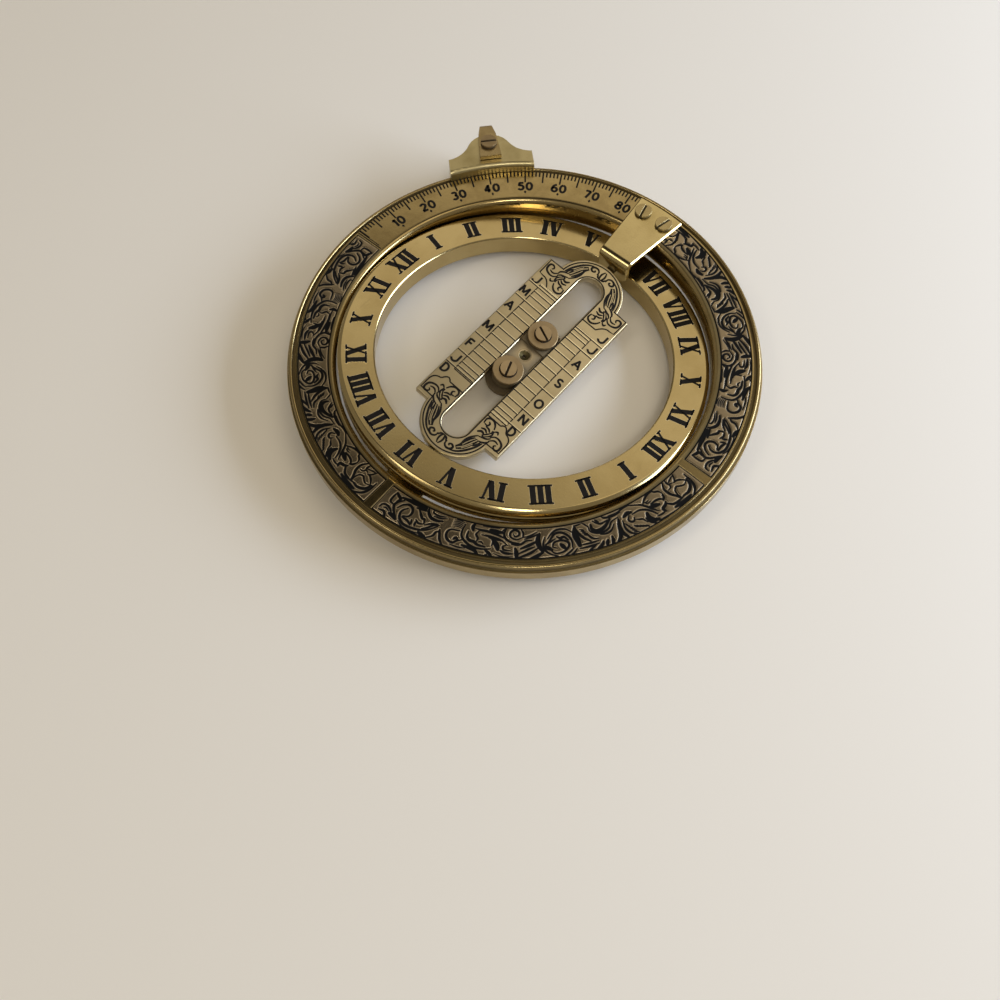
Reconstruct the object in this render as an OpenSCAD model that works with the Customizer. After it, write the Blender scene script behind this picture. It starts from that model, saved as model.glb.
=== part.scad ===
// Universal ring dial, lying almost folded.
// Origin at the common centre of the rings. X is the noon axis on which the hour ring
// opens, Y is the polar axis on which the bridge turns, +Z faces the reader of the scales.

/* [Meridian ring] */
// Outside diameter over the rail of the rim
ring_od = 80; // [66:0.5:110]
// Radial width of the meridian ring, from bore to rail
ring_w = 8.3; // [7.6:0.1:9.5]
// Thickness of the meridian ring, face to face
ring_t = 4.6; // [4.2:0.1:6]
// Height of the plain rail around the middle of the rim
rail_h = 2.3; // [2.2:0.05:2.6]
// How far the rail stands out past the beads
rail_step = 0.4; // [0.2:0.05:0.8]
// Width of the round bead along each edge of the rim
bead_w = 0.65; // [0.5:0.05:0.9]
// Width of the groove in which the saddle's hooks run
groove_w = 0.55; // [0.45:0.05:0.8]
// Depth of the saddle's groove
groove_depth = 0.7; // [0.6:0.05:0.9]
// Radius of the rounded edges of the bore
bore_round = 0.9; // [0.3:0.1:1.2]
// Plain margin between the bore and the engraved panels
panel_margin = 1.15; // [1:0.05:1.6]
// Plain land between the engraved panels and the groove
panel_land = 0.3; // [0.2:0.05:0.6]
// Depth of the ground of the engraved panels
panel_depth = 0.2; // [0.1:0.05:0.4]
// Angle of the plain bar between two panels
panel_gap = 2.2; // [1:0.1:4]

/* [Hour ring] */
// Clearance between the meridian ring and the hour ring
hour_gap = 0.3; // [0.2:0.05:0.6]
// Radial width of the hour ring
hour_w = 6.2; // [5:0.1:7]
// Thickness of the hour ring
hour_t = 3.8; // [3:0.1:4]
// Width of the bevels along the edges of the hour ring
hour_bevel = 0.6; // [0.2:0.05:0.9]
// Depth of those bevels
hour_bevel_depth = 0.4; // [0.1:0.05:0.7]
// Width of the line turned around the outside of the hour ring
hour_line_w = 0.4; // [0.2:0.05:0.6]
// Depth of that line
hour_line_depth = 0.2; // [0.1:0.05:0.4]
// How far the hour ring stands open, in degrees
hour_tilt = 6; // [0:1:84]

/* [Noon and midnight pivots] */
// Thread diameter of the two hour ring pivot screws
pivot_thread_d = 2; // [1.8:0.05:2.1]
// Diameter of the plain pin at the end of each
pivot_pin_d = 1.5; // [1.2:0.1:1.7]
// Length of pin inside the hour ring
pivot_reach = 2.2; // [1.5:0.1:3]
// Radial clearance of the pin in the hour ring
pivot_fit = 0.04; // [0.02:0.01:0.08]
// How far the slotted end lies below the rail
pivot_recess = 0.4; // [0.2:0.1:0.8]

/* [Bridge] */
// Width of the bridge bar
bar_w = 18; // [16:0.5:22]
// Distance from the shoulders of the bar to its tips
bar_shoulder = 5.85; // [4.5:0.05:6.5]
// Radius of the round ends of the bar
bar_end_r = 6.45; // [5.5:0.05:7]
// Thickness of the bridge bar
bar_t = 1.5; // [1.4:0.1:2]
// Width of the slot in the bar
slot_w = 5; // [4.6:0.1:5.2]
// Metal left between the slot's ends and the tips of the bar
slot_end_wall = 3.5; // [3:0.05:4]
// How far the bridge is turned about the polar axis, in degrees
bridge_turn = 11; // [-90:1:90]
// Thread diameter of the two bridge pivot screws
bridge_thread_d = 1.6; // [1.2:0.1:2]
// Diameter of the plain pin at the end of each
bridge_pin_d = 0.8; // [0.6:0.05:0.9]
// Length of that pin inside the bar
bridge_pin_reach = 1.5; // [1:0.1:1.6]
// Radial clearance of the pin in the bar
bridge_fit = 0.03; // [0.02:0.01:0.06]

/* [Slider] */
// Distance between the two slider screws
slider_pitch = 9.1; // [8:0.1:10]
// Clearance of the slider on each side of the slot
slider_fit = 0.04; // [0.02:0.01:0.1]
// Clearance of the collars and of the back strip over the bar
slider_float = 0.05; // [0.03:0.01:0.1]
// Diameter of the two collars
collar_d = 5.3; // [5.2:0.1:6.4]
// Thickness of the collars
collar_t = 1; // [0.6:0.1:1.4]
// Depth of the sunk part of the slider around the pinhole
slider_sink = 0.3; // [0.1:0.05:0.5]
// Width of the strip behind the bar
strip_w = 7; // [6:0.1:8]
// Thickness of the strip behind the bar
strip_t = 0.8; // [0.5:0.1:1.2]
// Diameter of the pinhole
pinhole_d = 0.6; // [0.3:0.1:1]
// Diameter of the sinking around the pinhole
pinhole_sink_d = 2.4; // [1.6:0.1:2.8]
// Depth of that sinking
pinhole_sink_depth = 0.4; // [0.2:0.1:0.5]
// Head diameter of the slider screws
slider_head_d = 2.8; // [2.4:0.1:3.2]
// Shank diameter of the slider screws
slider_shank_d = 1.4; // [1:0.1:1.6]

/* [Pole brackets] */
// Thickness of the bracket sheet
bracket_t = 0.75; // [0.5:0.05:1]
// Width of a bracket at the rim
bracket_w_rim = 9.2; // [8.6:0.1:10]
// Width of a bracket at its lip
bracket_w_lip = 6.3; // [5:0.1:6.6]
// Gap between the tip of the bar and the lip
bracket_gap = 0.7; // [0.6:0.05:1.2]
// Gap between the lip and the bore of the hour ring
lip_clear = 0.5; // [0.4:0.05:0.8]
// How far the lip reaches below the polar axis
lip_drop = 1.5; // [1.2:0.1:2]
// Outer radius of the bend
bend_r = 1.3; // [1.05:0.05:1.6]
// Distance between the two screws of a bracket
bracket_pitch = 4.5; // [4:0.1:5]
// Distance of the bracket screws from the bore of the meridian ring
bracket_screw_inset = 3.8; // [2.8:0.1:4.4]
// Shank diameter of the bracket screws
screw_d = 1.6; // [1.2:0.1:2]
// Head diameter of the bracket screws
screw_head_d = 3; // [2.6:0.1:3.4]
// Head height of all screws
screw_head_h = 0.55; // [0.4:0.05:0.9]
// Length of the bracket screws in the ring
screw_grip = 2.4; // [1.5:0.1:3]
// Width of the screw slots
slot_cut_w = 0.4; // [0.2:0.05:0.6]
// Depth of the screw slots
slot_cut_depth = 0.3; // [0.15:0.05:0.35]

/* [Saddle and shackle] */
// Latitude at which the saddle is set, in degrees
saddle_lat = 41; // [0:1:90]
// Length of the saddle along the rim
saddle_w = 15.3; // [12:0.1:18]
// Height of the saddle's shoulders over the rail
saddle_shoulder = 1; // [0.6:0.1:2]
// Radius of the saddle's round top
saddle_hump_r = 4.2; // [3.6:0.1:4.4]
// Radius of the hollow between top and shoulder
saddle_hollow_r = 5; // [4:0.1:6]
// Thickness of each saddle cheek
cheek_t = 1.9; // [1.2:0.1:2.4]
// Radius of the rounded inner edge of each cheek
saddle_edge_r = 0.8; // [0.4:0.05:1.1]
// Clearance between the saddle and the ring
saddle_fit = 0.1; // [0.05:0.01:0.15]
// How deep the hooks reach into the groove
hook_depth = 0.5; // [0.3:0.05:0.55]
// Distance of the shackle's screw from the rail
shackle_pivot = 3; // [2.5:0.1:4]
// Width of the shackle strap at its lower end
shackle_w_low = 3.9; // [3.5:0.05:5]
// Width of its legs where they begin to narrow
shackle_w_leg = 3.2; // [2.4:0.05:3.4]
// Height of that place over the shackle's screw
strap_leg = 2.2; // [1.5:0.1:3]
// Width of the shackle strap at its top
shackle_w_top = 2; // [1.6:0.1:3]
// Thickness of the shackle strap
strap_t = 0.9; // [0.6:0.05:1.2]
// Clearance between the strap and the saddle
strap_fit = 0.15; // [0.05:0.05:0.3]
// Length of the strap below its screw
strap_foot = 3; // [2:0.1:3.2]
// Clear height under the top of the strap, from its screw
strap_rise = 3.7; // [3.6:0.05:5]
// Shank diameter of the shackle screw
shackle_screw_d = 1.6; // [1.2:0.1:2]
// Head diameter of the shackle screw
shackle_head_d = 2.9; // [2.4:0.1:3.2]
// Radial clearance of the shackle screw in the saddle
shackle_fit = 0.05; // [0.02:0.01:0.08]
// Diameter of the cord hole in the top of the strap
cord_hole_d = 1.1; // [0.6:0.1:1.2]

/* [Hidden] */
$fn = 96;
// Overlap that keeps cuts clean
eps = 0.02;
// Length of cuts that go right through
through = 2 * ring_od;
brass = "#c9b06a";
bronze = "#8d8068";
pale_brass = "#bdb392";
dull_brass = "#b39a78";
face_z = ring_t / 2;
ring_r = ring_od / 2;
bore_r = ring_r - ring_w;
bead_out = ring_r - rail_step;
groove_out = bead_out - bead_w;
groove_in = groove_out - groove_w;
panel_in = bore_r + panel_margin;
panel_out = groove_in - panel_land;
hour_r = bore_r - hour_gap;
hour_in = hour_r - hour_w;
lip_out = hour_in - lip_clear;
lip_in = lip_out - bracket_t;
tip_y = lip_in - bracket_gap;
bar_end_y = tip_y - bar_end_r;
bar_body = 2 * (tip_y - bar_shoulder);
slot_end_y = tip_y - slot_end_wall - slot_w / 2;
bracket_screw_r = bore_r + bracket_screw_inset;
plate_top = face_z + bracket_t;
bracket_end = groove_in - panel_land;
// Angle of ring face that a bracket covers on each side of the pole
bracket_seat = asin(bracket_w_rim / 2 / bracket_end) - 1;
pivot_gap = 0.3;
lip_corner_r = 1;
slider_top = bar_t / 2 + slider_float;
collar_top = slider_top + collar_t;
strip_bottom = -slider_top - strip_t;
hook_in = groove_in + saddle_fit;
hook_w = groove_w - 2 * saddle_fit;
cheek_low = face_z + saddle_fit;
cheek_top = cheek_low + cheek_t;
rim_clear = 0.15;
shoulder_v = ring_r + saddle_shoulder;
pivot_v = ring_r + shackle_pivot;
// The round top is centred a little below the shackle's screw
hump_drop = 1.2;
hump_v = pivot_v - hump_drop;
hollow_v = shoulder_v + saddle_hollow_r;
hollow_u = sqrt(pow(saddle_hump_r + saddle_hollow_r, 2) - pow(hollow_v - hump_v, 2));
hollow_half = min(hollow_u, saddle_w / 2);
hump_share = saddle_hump_r / (saddle_hump_r + saddle_hollow_r);
blend_v = hump_v + (hollow_v - hump_v) * hump_share;
strap_in = cheek_top + strap_fit;
strap_out = strap_in + strap_t;
strap_top_v = pivot_v + strap_rise + strap_t;
strap_low_v = pivot_v - strap_foot;
strap_round = 0.8;
// Angles at which the screw slots happen to stand
upper_left_slot = 104;
upper_right_slot = 78;
lower_left_slot = 40;
lower_right_slot = 125;
slider_upper_slot = 158;
slider_lower_slot = 110;
shackle_slot = 0;

// A square with one corner rounded away: what is left of it is cut from a profile
module corner_cut(r) {
  difference() {
    translate([-r, -r]) square(r + eps);
    translate([-r, -r]) circle(r = r);
  }
}

// Slotted cheese-head screw along -Z, with the seat of its head at z = 0
module slotted_screw(head_d, shank_d, grip) {
  difference() {
    union() {
      cylinder(d = head_d, h = screw_head_h);
      translate([0, 0, -grip]) cylinder(d = shank_d, h = grip + eps);
    }
    translate([-head_d, -slot_cut_w / 2, screw_head_h - slot_cut_depth])
      cube([2 * head_d, slot_cut_w, slot_cut_depth + eps]);
  }
}

// Headless pivot screw along +X: slotted end at x = outer, pin end at x = tip
module pivot_screw(outer, shoulder, tip, thread_d, pin_d) {
  difference() {
    union() {
      translate([shoulder, 0, 0]) rotate([0, 90, 0]) cylinder(d = thread_d, h = outer - shoulder);
      translate([tip, 0, 0]) rotate([0, 90, 0]) cylinder(d = pin_d, h = shoulder - tip + eps);
    }
    translate([outer - slot_cut_depth, -thread_d, -slot_cut_w / 2])
      cube([slot_cut_depth + eps, 2 * thread_d, slot_cut_w]);
  }
}

module stadium(w, reach) {
  square([w, 2 * reach], center = true);
  for (s = [-1, 1]) translate([0, s * reach]) circle(d = w);
}

// Section of the meridian ring: body, two grooves, beads and the rail of the rim
module ring_section() {
  difference() {
    union() {
      translate([bore_r, -face_z]) square([groove_in - bore_r, ring_t]);
      translate([groove_in - eps, -face_z + groove_depth])
        square([bead_out - groove_in + eps, ring_t - 2 * groove_depth]);
      translate([groove_out, -face_z + bead_w / 2]) square([bead_w, ring_t - bead_w]);
      for (s = [-1, 1]) translate([groove_out + bead_w / 2, s * (face_z - bead_w / 2)])
        circle(d = bead_w);
      translate([groove_out, -rail_h / 2]) square([ring_r - groove_out, rail_h]);
    }
    translate([bore_r, face_z]) mirror([1, 0]) corner_cut(bore_round);
    translate([bore_r, -face_z]) mirror([1, 0]) mirror([0, 1]) corner_cut(bore_round);
  }
}

// Sunk ground of one engraved panel between two azimuths
module panel_ground(from, to) {
  rotate([0, 0, from]) rotate_extrude(angle = to - from)
    translate([panel_in, face_z - panel_depth]) square([panel_out - panel_in, panel_depth + eps]);
}

// Places children on both screw centres of the upper bracket
module at_bracket_screws() {
  for (s = [-1, 1]) translate([s * bracket_pitch / 2, bracket_screw_r, 0]) children();
}

// The back pole is the front pole turned half a turn about the noon axis
module at_lower_pole() {
  rotate([180, 0, 0]) children();
}

module meridian_ring() {
  color(bronze) difference() {
    rotate_extrude() ring_section();
    panel_ground(panel_gap / 2, 90 - bracket_seat);
    panel_ground(180 + panel_gap / 2, 270 - panel_gap / 2);
    panel_ground(270 + panel_gap / 2, 360 - panel_gap / 2);
    rotate([0, 90, 0]) cylinder(d = pivot_thread_d, h = through, center = true);
    at_bracket_screws() translate([0, 0, face_z - screw_grip]) cylinder(d = screw_d, h = ring_t);
    at_lower_pole() at_bracket_screws() translate([0, 0, face_z - screw_grip])
      cylinder(d = screw_d, h = ring_t);
  }
}

// Bevelled section of the hour ring with the line turned around its outside
module hour_section() {
  b = hour_bevel;
  d = hour_bevel_depth;
  h = hour_t / 2;
  half_line = hour_line_w / 2;
  polygon([
    [hour_in, -h + d], [hour_in + b, -h], [hour_r - b, -h], [hour_r, -h + d],
    [hour_r, -half_line], [hour_r - hour_line_depth, 0], [hour_r, half_line],
    [hour_r, h - d], [hour_r - b, h], [hour_in + b, h], [hour_in, h - d]
  ]);
}

module hour_ring() {
  bore_start = hour_r - pivot_reach - pivot_gap;
  color(brass) rotate([-hour_tilt, 0, 0]) difference() {
    rotate_extrude() hour_section();
    for (s = [0, 180]) rotate([0, 0, s]) translate([bore_start, 0, 0]) rotate([0, 90, 0])
      cylinder(d = pivot_pin_d + 2 * pivot_fit, h = hour_w);
  }
}

module hour_pivot() {
  color(dull_brass) pivot_screw(ring_r - pivot_recess, bore_r + pivot_gap, hour_r - pivot_reach,
                                pivot_thread_d, pivot_pin_d);
}

module noon_pivot_screw() {
  rotate([0, 0, 180]) hour_pivot();
}

module midnight_pivot_screw() {
  hour_pivot();
}

// Side view of a bracket in Y and Z: flat on the face, bent down to a lip
module bracket_profile() {
  difference() {
    union() {
      translate([lip_in, face_z]) square([ring_r - lip_in, bracket_t]);
      translate([lip_in, -lip_drop]) square([bracket_t, plate_top + lip_drop]);
      translate([lip_out, face_z]) mirror([1, 0]) corner_cut(bend_r - bracket_t);
    }
    translate([lip_in, plate_top]) mirror([1, 0]) corner_cut(bend_r);
  }
}

// Plan of a bracket: tapered towards the lip, with its end following the groove
module bracket_plan() {
  intersection() {
    polygon([
      [-bracket_w_lip / 2, lip_in], [bracket_w_lip / 2, lip_in], [bracket_w_lip / 2, lip_out],
      [bracket_w_rim / 2, bracket_end], [bracket_w_rim / 2, ring_r],
      [-bracket_w_rim / 2, ring_r], [-bracket_w_rim / 2, bracket_end], [-bracket_w_lip / 2, lip_out]
    ]);
    circle(r = bracket_end);
  }
}

module pole_bracket() {
  color(brass) difference() {
    intersection() {
      translate([0, 0, -ring_t]) linear_extrude(3 * ring_t) bracket_plan();
      rotate([90, 0, 90]) linear_extrude(2 * bracket_w_rim, center = true) bracket_profile();
    }
    at_bracket_screws() cylinder(d = screw_d, h = 2 * plate_top);
    rotate([-90, 0, 0]) cylinder(d = bridge_thread_d, h = ring_r);
    for (s = [0, 1]) mirror([s, 0, 0])
      translate([bracket_w_lip / 2, lip_in - eps, -lip_drop]) rotate([-90, 0, 0])
        linear_extrude(bracket_t + 2 * eps) corner_cut(lip_corner_r);
  }
}

module upper_pole_bracket() {
  pole_bracket();
}

module lower_pole_bracket() {
  at_lower_pole() pole_bracket();
}

// One bracket screw, on the side given by s, with its slot at its own angle
module bracket_screw(s, slot_angle) {
  color(brass) translate([s * bracket_pitch / 2, bracket_screw_r, plate_top])
    rotate([0, 0, slot_angle]) slotted_screw(screw_head_d, screw_d, screw_grip + bracket_t);
}

module upper_bracket_screw_left() {
  bracket_screw(-1, upper_left_slot);
}

module upper_bracket_screw_right() {
  bracket_screw(1, upper_right_slot);
}

module lower_bracket_screw_left() {
  at_lower_pole() bracket_screw(-1, lower_left_slot);
}

module lower_bracket_screw_right() {
  at_lower_pole() bracket_screw(1, lower_right_slot);
}

module bridge_pivot() {
  color(dull_brass) rotate([0, 0, 90])
    pivot_screw(lip_out, tip_y + pivot_gap, tip_y - bridge_pin_reach, bridge_thread_d, bridge_pin_d);
}

module upper_bridge_pivot() {
  bridge_pivot();
}

module lower_bridge_pivot() {
  at_lower_pole() bridge_pivot();
}

module turned_bridge() {
  rotate([0, bridge_turn, 0]) children();
}

module bar_outline() {
  difference() {
    union() {
      square([bar_w, bar_body], center = true);
      for (s = [-1, 1]) translate([0, s * bar_end_y]) circle(r = bar_end_r);
    }
    stadium(slot_w, slot_end_y);
  }
}

module bridge_bar() {
  hole_start = tip_y - bridge_pin_reach - pivot_gap;
  color(pale_brass) turned_bridge() difference() {
    linear_extrude(bar_t, center = true) bar_outline();
    for (s = [-90, 90]) rotate([s, 0, 0]) translate([0, 0, hole_start])
      cylinder(d = bridge_pin_d + 2 * bridge_fit, h = tip_y);
  }
}

module at_slider_screw(s) {
  turned_bridge() translate([0, s * slider_pitch / 2, 0]) children();
}

module slider_plate() {
  between = slider_pitch - collar_d;
  color(pale_brass) turned_bridge() difference() {
    linear_extrude(2 * slider_top, center = true) stadium(slot_w - 2 * slider_fit, slider_pitch / 2);
    translate([-slot_w, -between / 2, slider_top - slider_sink])
      cube([2 * slot_w, between, slider_sink + eps]);
    cylinder(d = pinhole_d, h = through, center = true);
    translate([0, 0, slider_top - slider_sink - pinhole_sink_depth])
      cylinder(d1 = pinhole_d, d2 = pinhole_sink_d, h = pinhole_sink_depth + eps);
    for (s = [-1, 1]) translate([0, s * slider_pitch / 2, 0])
      cylinder(d = slider_shank_d, h = through, center = true);
  }
}

module slider_back_strip() {
  color(pale_brass) turned_bridge() difference() {
    translate([0, 0, strip_bottom]) linear_extrude(strip_t) stadium(strip_w, slider_pitch / 2);
    cylinder(d = pinhole_sink_d, h = through, center = true);
    for (s = [-1, 1]) translate([0, s * slider_pitch / 2, 0])
      cylinder(d = slider_shank_d, h = through, center = true);
  }
}

module slider_collar(s) {
  color(dull_brass) at_slider_screw(s) difference() {
    translate([0, 0, slider_top]) cylinder(d = collar_d, h = collar_t);
    cylinder(d = slider_shank_d, h = 2 * collar_top);
  }
}

module slider_collar_upper() {
  slider_collar(1);
}

module slider_collar_lower() {
  slider_collar(-1);
}

module slider_screw(s, slot_angle) {
  color(dull_brass) at_slider_screw(s) translate([0, 0, collar_top]) rotate([0, 0, slot_angle])
    slotted_screw(slider_head_d, slider_shank_d, collar_top - strip_bottom);
}

module slider_screw_upper() {
  slider_screw(1, slider_upper_slot);
}

module slider_screw_lower() {
  slider_screw(-1, slider_lower_slot);
}

// Local frame of the saddle: +Y points out of the ring at the set latitude
module at_saddle() {
  rotate([0, 0, 90 - saddle_lat]) children();
}

// Ogee front of the saddle down to a round edge of the given radius
module saddle_outline(edge_r) {
  difference() {
    union() {
      translate([-saddle_w / 2, 0]) square([saddle_w, shoulder_v]);
      translate([0, hump_v]) circle(r = saddle_hump_r);
      difference() {
        translate([-hollow_half, 0]) square([2 * hollow_half, blend_v]);
        for (s = [-1, 1]) translate([s * hollow_u, hollow_v]) circle(r = saddle_hollow_r);
      }
    }
    circle(r = edge_r);
  }
}

module shackle_bore() {
  translate([0, pivot_v, 0]) cylinder(d = shackle_screw_d + 2 * shackle_fit, h = through, center = true);
}

// Cheek with the hook that runs in the groove of the ring's face
module saddle_cheek() {
  difference() {
    union() {
      translate([0, 0, cheek_low]) linear_extrude(cheek_t) saddle_outline(hook_in);
      translate([0, 0, face_z - hook_depth])
      linear_extrude(hook_depth + saddle_fit + eps) intersection() {
        difference() {
          circle(r = hook_in + hook_w);
          circle(r = hook_in);
        }
        translate([-saddle_w / 2, 0]) square([saddle_w, ring_r]);
      }
    }
    rotate_extrude() translate([hook_in, cheek_top]) mirror([1, 0]) corner_cut(saddle_edge_r);
    shackle_bore();
  }
}

module saddle_front_cheek() {
  color(brass) at_saddle() saddle_cheek();
}

module saddle_back_cheek() {
  color(brass) at_saddle() mirror([0, 0, 1]) saddle_cheek();
}

module saddle_spacer() {
  color(brass) at_saddle() difference() {
    linear_extrude(2 * cheek_low, center = true) saddle_outline(ring_r + rim_clear);
    shackle_bore();
  }
}

// Edge view of the strap in height and Z: two legs joined over the top of the saddle
module strap_profile() {
  difference() {
    translate([strap_low_v, -strap_out]) square([strap_top_v - strap_low_v, 2 * strap_out]);
    translate([strap_low_v - eps, -strap_in])
      square([strap_top_v - strap_t - strap_low_v + eps, 2 * strap_in]);
    translate([strap_top_v, strap_out]) corner_cut(strap_round);
    translate([strap_top_v, -strap_out]) mirror([0, 1]) corner_cut(strap_round);
  }
}

module strap_plan() {
  polygon([
    [-shackle_w_low / 2, strap_low_v], [shackle_w_low / 2, strap_low_v],
    [shackle_w_leg / 2, pivot_v + strap_leg], [shackle_w_top / 2, strap_top_v],
    [-shackle_w_top / 2, strap_top_v], [-shackle_w_leg / 2, pivot_v + strap_leg]
  ]);
}

module shackle_strap() {
  color(dull_brass) at_saddle() difference() {
    intersection() {
      linear_extrude(3 * strap_out, center = true) strap_plan();
      rotate([90, 0, 90]) linear_extrude(2 * shackle_w_low, center = true) strap_profile();
    }
    translate([0, pivot_v, 0]) cylinder(d = shackle_screw_d, h = through, center = true);
    translate([0, pivot_v, 0]) rotate([-90, 0, 0]) cylinder(d = cord_hole_d, h = 2 * strap_rise);
  }
}

module shackle_screw() {
  color(dull_brass) at_saddle() translate([0, pivot_v, strap_out]) rotate([0, 0, shackle_slot])
    slotted_screw(shackle_head_d, shackle_screw_d, 2 * strap_out);
}

meridian_ring();
hour_ring();
noon_pivot_screw();
midnight_pivot_screw();
upper_pole_bracket();
lower_pole_bracket();
upper_bracket_screw_left();
upper_bracket_screw_right();
lower_bracket_screw_left();
lower_bracket_screw_right();
upper_bridge_pivot();
lower_bridge_pivot();
bridge_bar();
slider_plate();
slider_back_strip();
slider_collar_upper();
slider_collar_lower();
slider_screw_upper();
slider_screw_lower();
saddle_front_cheek();
saddle_back_cheek();
saddle_spacer();
shackle_strap();
shackle_screw();
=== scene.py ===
import math

import bmesh
import bpy
import numpy as np
from mathutils import Matrix, Vector


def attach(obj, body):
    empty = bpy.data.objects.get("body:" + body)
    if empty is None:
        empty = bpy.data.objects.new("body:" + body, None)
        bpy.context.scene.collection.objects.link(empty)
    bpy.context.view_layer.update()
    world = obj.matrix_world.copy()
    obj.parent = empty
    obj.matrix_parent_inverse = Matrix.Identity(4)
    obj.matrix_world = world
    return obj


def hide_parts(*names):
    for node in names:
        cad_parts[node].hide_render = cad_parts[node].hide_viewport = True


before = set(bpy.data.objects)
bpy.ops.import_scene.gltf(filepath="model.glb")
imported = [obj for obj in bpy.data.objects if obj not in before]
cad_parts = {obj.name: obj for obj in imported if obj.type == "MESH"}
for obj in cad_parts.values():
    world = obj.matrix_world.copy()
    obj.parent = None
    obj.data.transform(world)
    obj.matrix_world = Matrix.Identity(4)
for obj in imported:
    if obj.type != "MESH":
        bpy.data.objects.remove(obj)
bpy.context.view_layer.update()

# Meridian ring: a flat brass ring, turned in one setting. Each face has the groove that guides the hanger,
# the rim has two round beads and a plain rail between them, and the bore edges are rounded over.
# Three of the four quadrants of the front face are sunk for the engraved panels.
MM = 0.001
RING_R, BORE_R, FACE_Z = 40.0, 31.7, 2.3
GROOVE_IN, GROOVE_OUT, GROOVE_FLOOR = 38.4, 38.95, 1.6
BEAD_OUT, BEAD_R, RAIL_Z, BORE_ROUND = 39.6, 0.325, 1.15, 0.9
BEAD_MID = (GROOVE_OUT + BEAD_OUT) / 2
PANEL_IN, PANEL_OUT, PANEL_DEPTH, PANEL_WALL = 32.85, 38.1, 0.2, 0.02
PANELS = ((1.1, 84.05), (181.1, 268.9), (271.1, 358.9))
GROOVE_EDGE, RAIL_STEP, RAIL_EDGE = 0.05, 0.02, 0.08
# Painted shade across the front bead, from its inner foot over the top and down its outer flank.
BEAD_SHADE = (0.35, 0.1, 0, 0, 0, 0, 0, 0.15, 0.3, 0.45, 0.6)


def arc(center_x, center_y, radius, start, end, count):
    """Points of a circular arc: center + radius * (cos a, sin a), with a in degrees from start to end."""
    a = np.radians(np.linspace(start, end, count))
    return np.stack([center_x + radius * np.cos(a), center_y + radius * np.sin(a)], 1)


def grid_quads(rows, cols, close_rows=False, close_cols=False):
    """Four-sided faces of a rows by cols grid of points, numbered row by row; closing joins last to first."""
    r = np.arange(rows if close_rows else rows - 1)[:, None]
    c = np.arange(cols if close_cols else cols - 1)[None, :]
    r1, c1 = (r + 1) % rows, (c + 1) % cols
    corners = [r * cols + c, r1 * cols + c, r1 * cols + c1, r * cols + c1]
    return np.stack([np.broadcast_to(k, (r.size, c.size)) for k in corners], -1).reshape(-1, 4)


def turned(section, steps):
    """Places of a turned surface: (r cos a, r sin a, z) for each azimuth a of steps, in degrees, and each
    point (r, z) of the section, which may differ from step to step."""
    r, z = np.broadcast_to(section, (len(steps), *section.shape[-2:]))[..., :2].transpose(2, 0, 1)
    a = np.radians(steps)[:, None]
    return np.stack([r * np.cos(a), r * np.sin(a), z], -1).reshape(-1, 3)


def mesh_of(name, points, faces):
    """A mesh from an (n, 3) array of millimetres and a list of faces."""
    mesh = bpy.data.meshes.new(name)
    mesh.from_pydata((points * MM).tolist(), [], faces)
    mesh.update()
    return mesh


def put(name, mesh, finish, body):
    """An object of one mesh and one finish, riding on a body."""
    mesh.materials.clear()
    mesh.materials.append(finish)
    made = bpy.data.objects.new(name, mesh)
    bpy.context.collection.objects.link(made)
    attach(made, body)
    return made


def set_ink(made, ink_and_shade):
    """Gives the points of a mesh their darkness: 0 is bare metal, and 1 is black filling in engravings and
    full painted shade elsewhere.
    """
    values = made.data.attributes.new("ink_and_shade", "FLOAT", "POINT")
    values.data.foreach_set("value", np.asarray(ink_and_shade, np.float32).ravel())


def piece(name, points, quads, finish, body, crease=32.0):
    """One mesh from an (n, 3) array of millimetres and an (m, 4) array of faces, riding on a body.
    Edges that bend more than crease degrees stay sharp, and all others are shaded round."""
    mesh = mesh_of(name, points, quads.tolist())
    mesh.polygons.foreach_set("use_smooth", np.ones(len(quads), dtype=bool))
    mesh.set_sharp_from_angle(angle=math.radians(crease))
    return put(name, mesh, finish, body)


def fill(tree, node, inputs):
    """Gives inputs of a node their values, or joins them to outputs of other nodes."""
    for socket, value in inputs.items():
        if isinstance(value, bpy.types.NodeSocket):
            tree.links.new(value, node.inputs[socket])
        else:
            node.inputs[socket].default_value = value


def add(tree, kind, inputs, **settings):
    """A new node of a tree, with its settings and its inputs."""
    made = tree.nodes.new("ShaderNode" + kind)
    for name, value in settings.items():
        setattr(made, name, value)
    fill(tree, made, inputs)
    return made


def material(name):
    """A new material with its node tree and its shader."""
    made = bpy.data.materials.new(name)
    made.use_nodes = True
    return made, made.node_tree, made.node_tree.nodes["Principled BSDF"]


def new_group(name, inputs, outputs):
    """A shader node group with named inputs and outputs, each with its kind, and the two ends inside it."""
    group = bpy.data.node_groups.new(name, "ShaderNodeTree")
    for sockets, in_out in ((inputs, "INPUT"), (outputs, "OUTPUT")):
        for socket, kind in sockets.items():
            group.interface.new_socket(socket, in_out=in_out, socket_type="NodeSocket" + kind)
    return group, group.nodes.new("NodeGroupInput").outputs, group.nodes.new("NodeGroupOutput")


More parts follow.
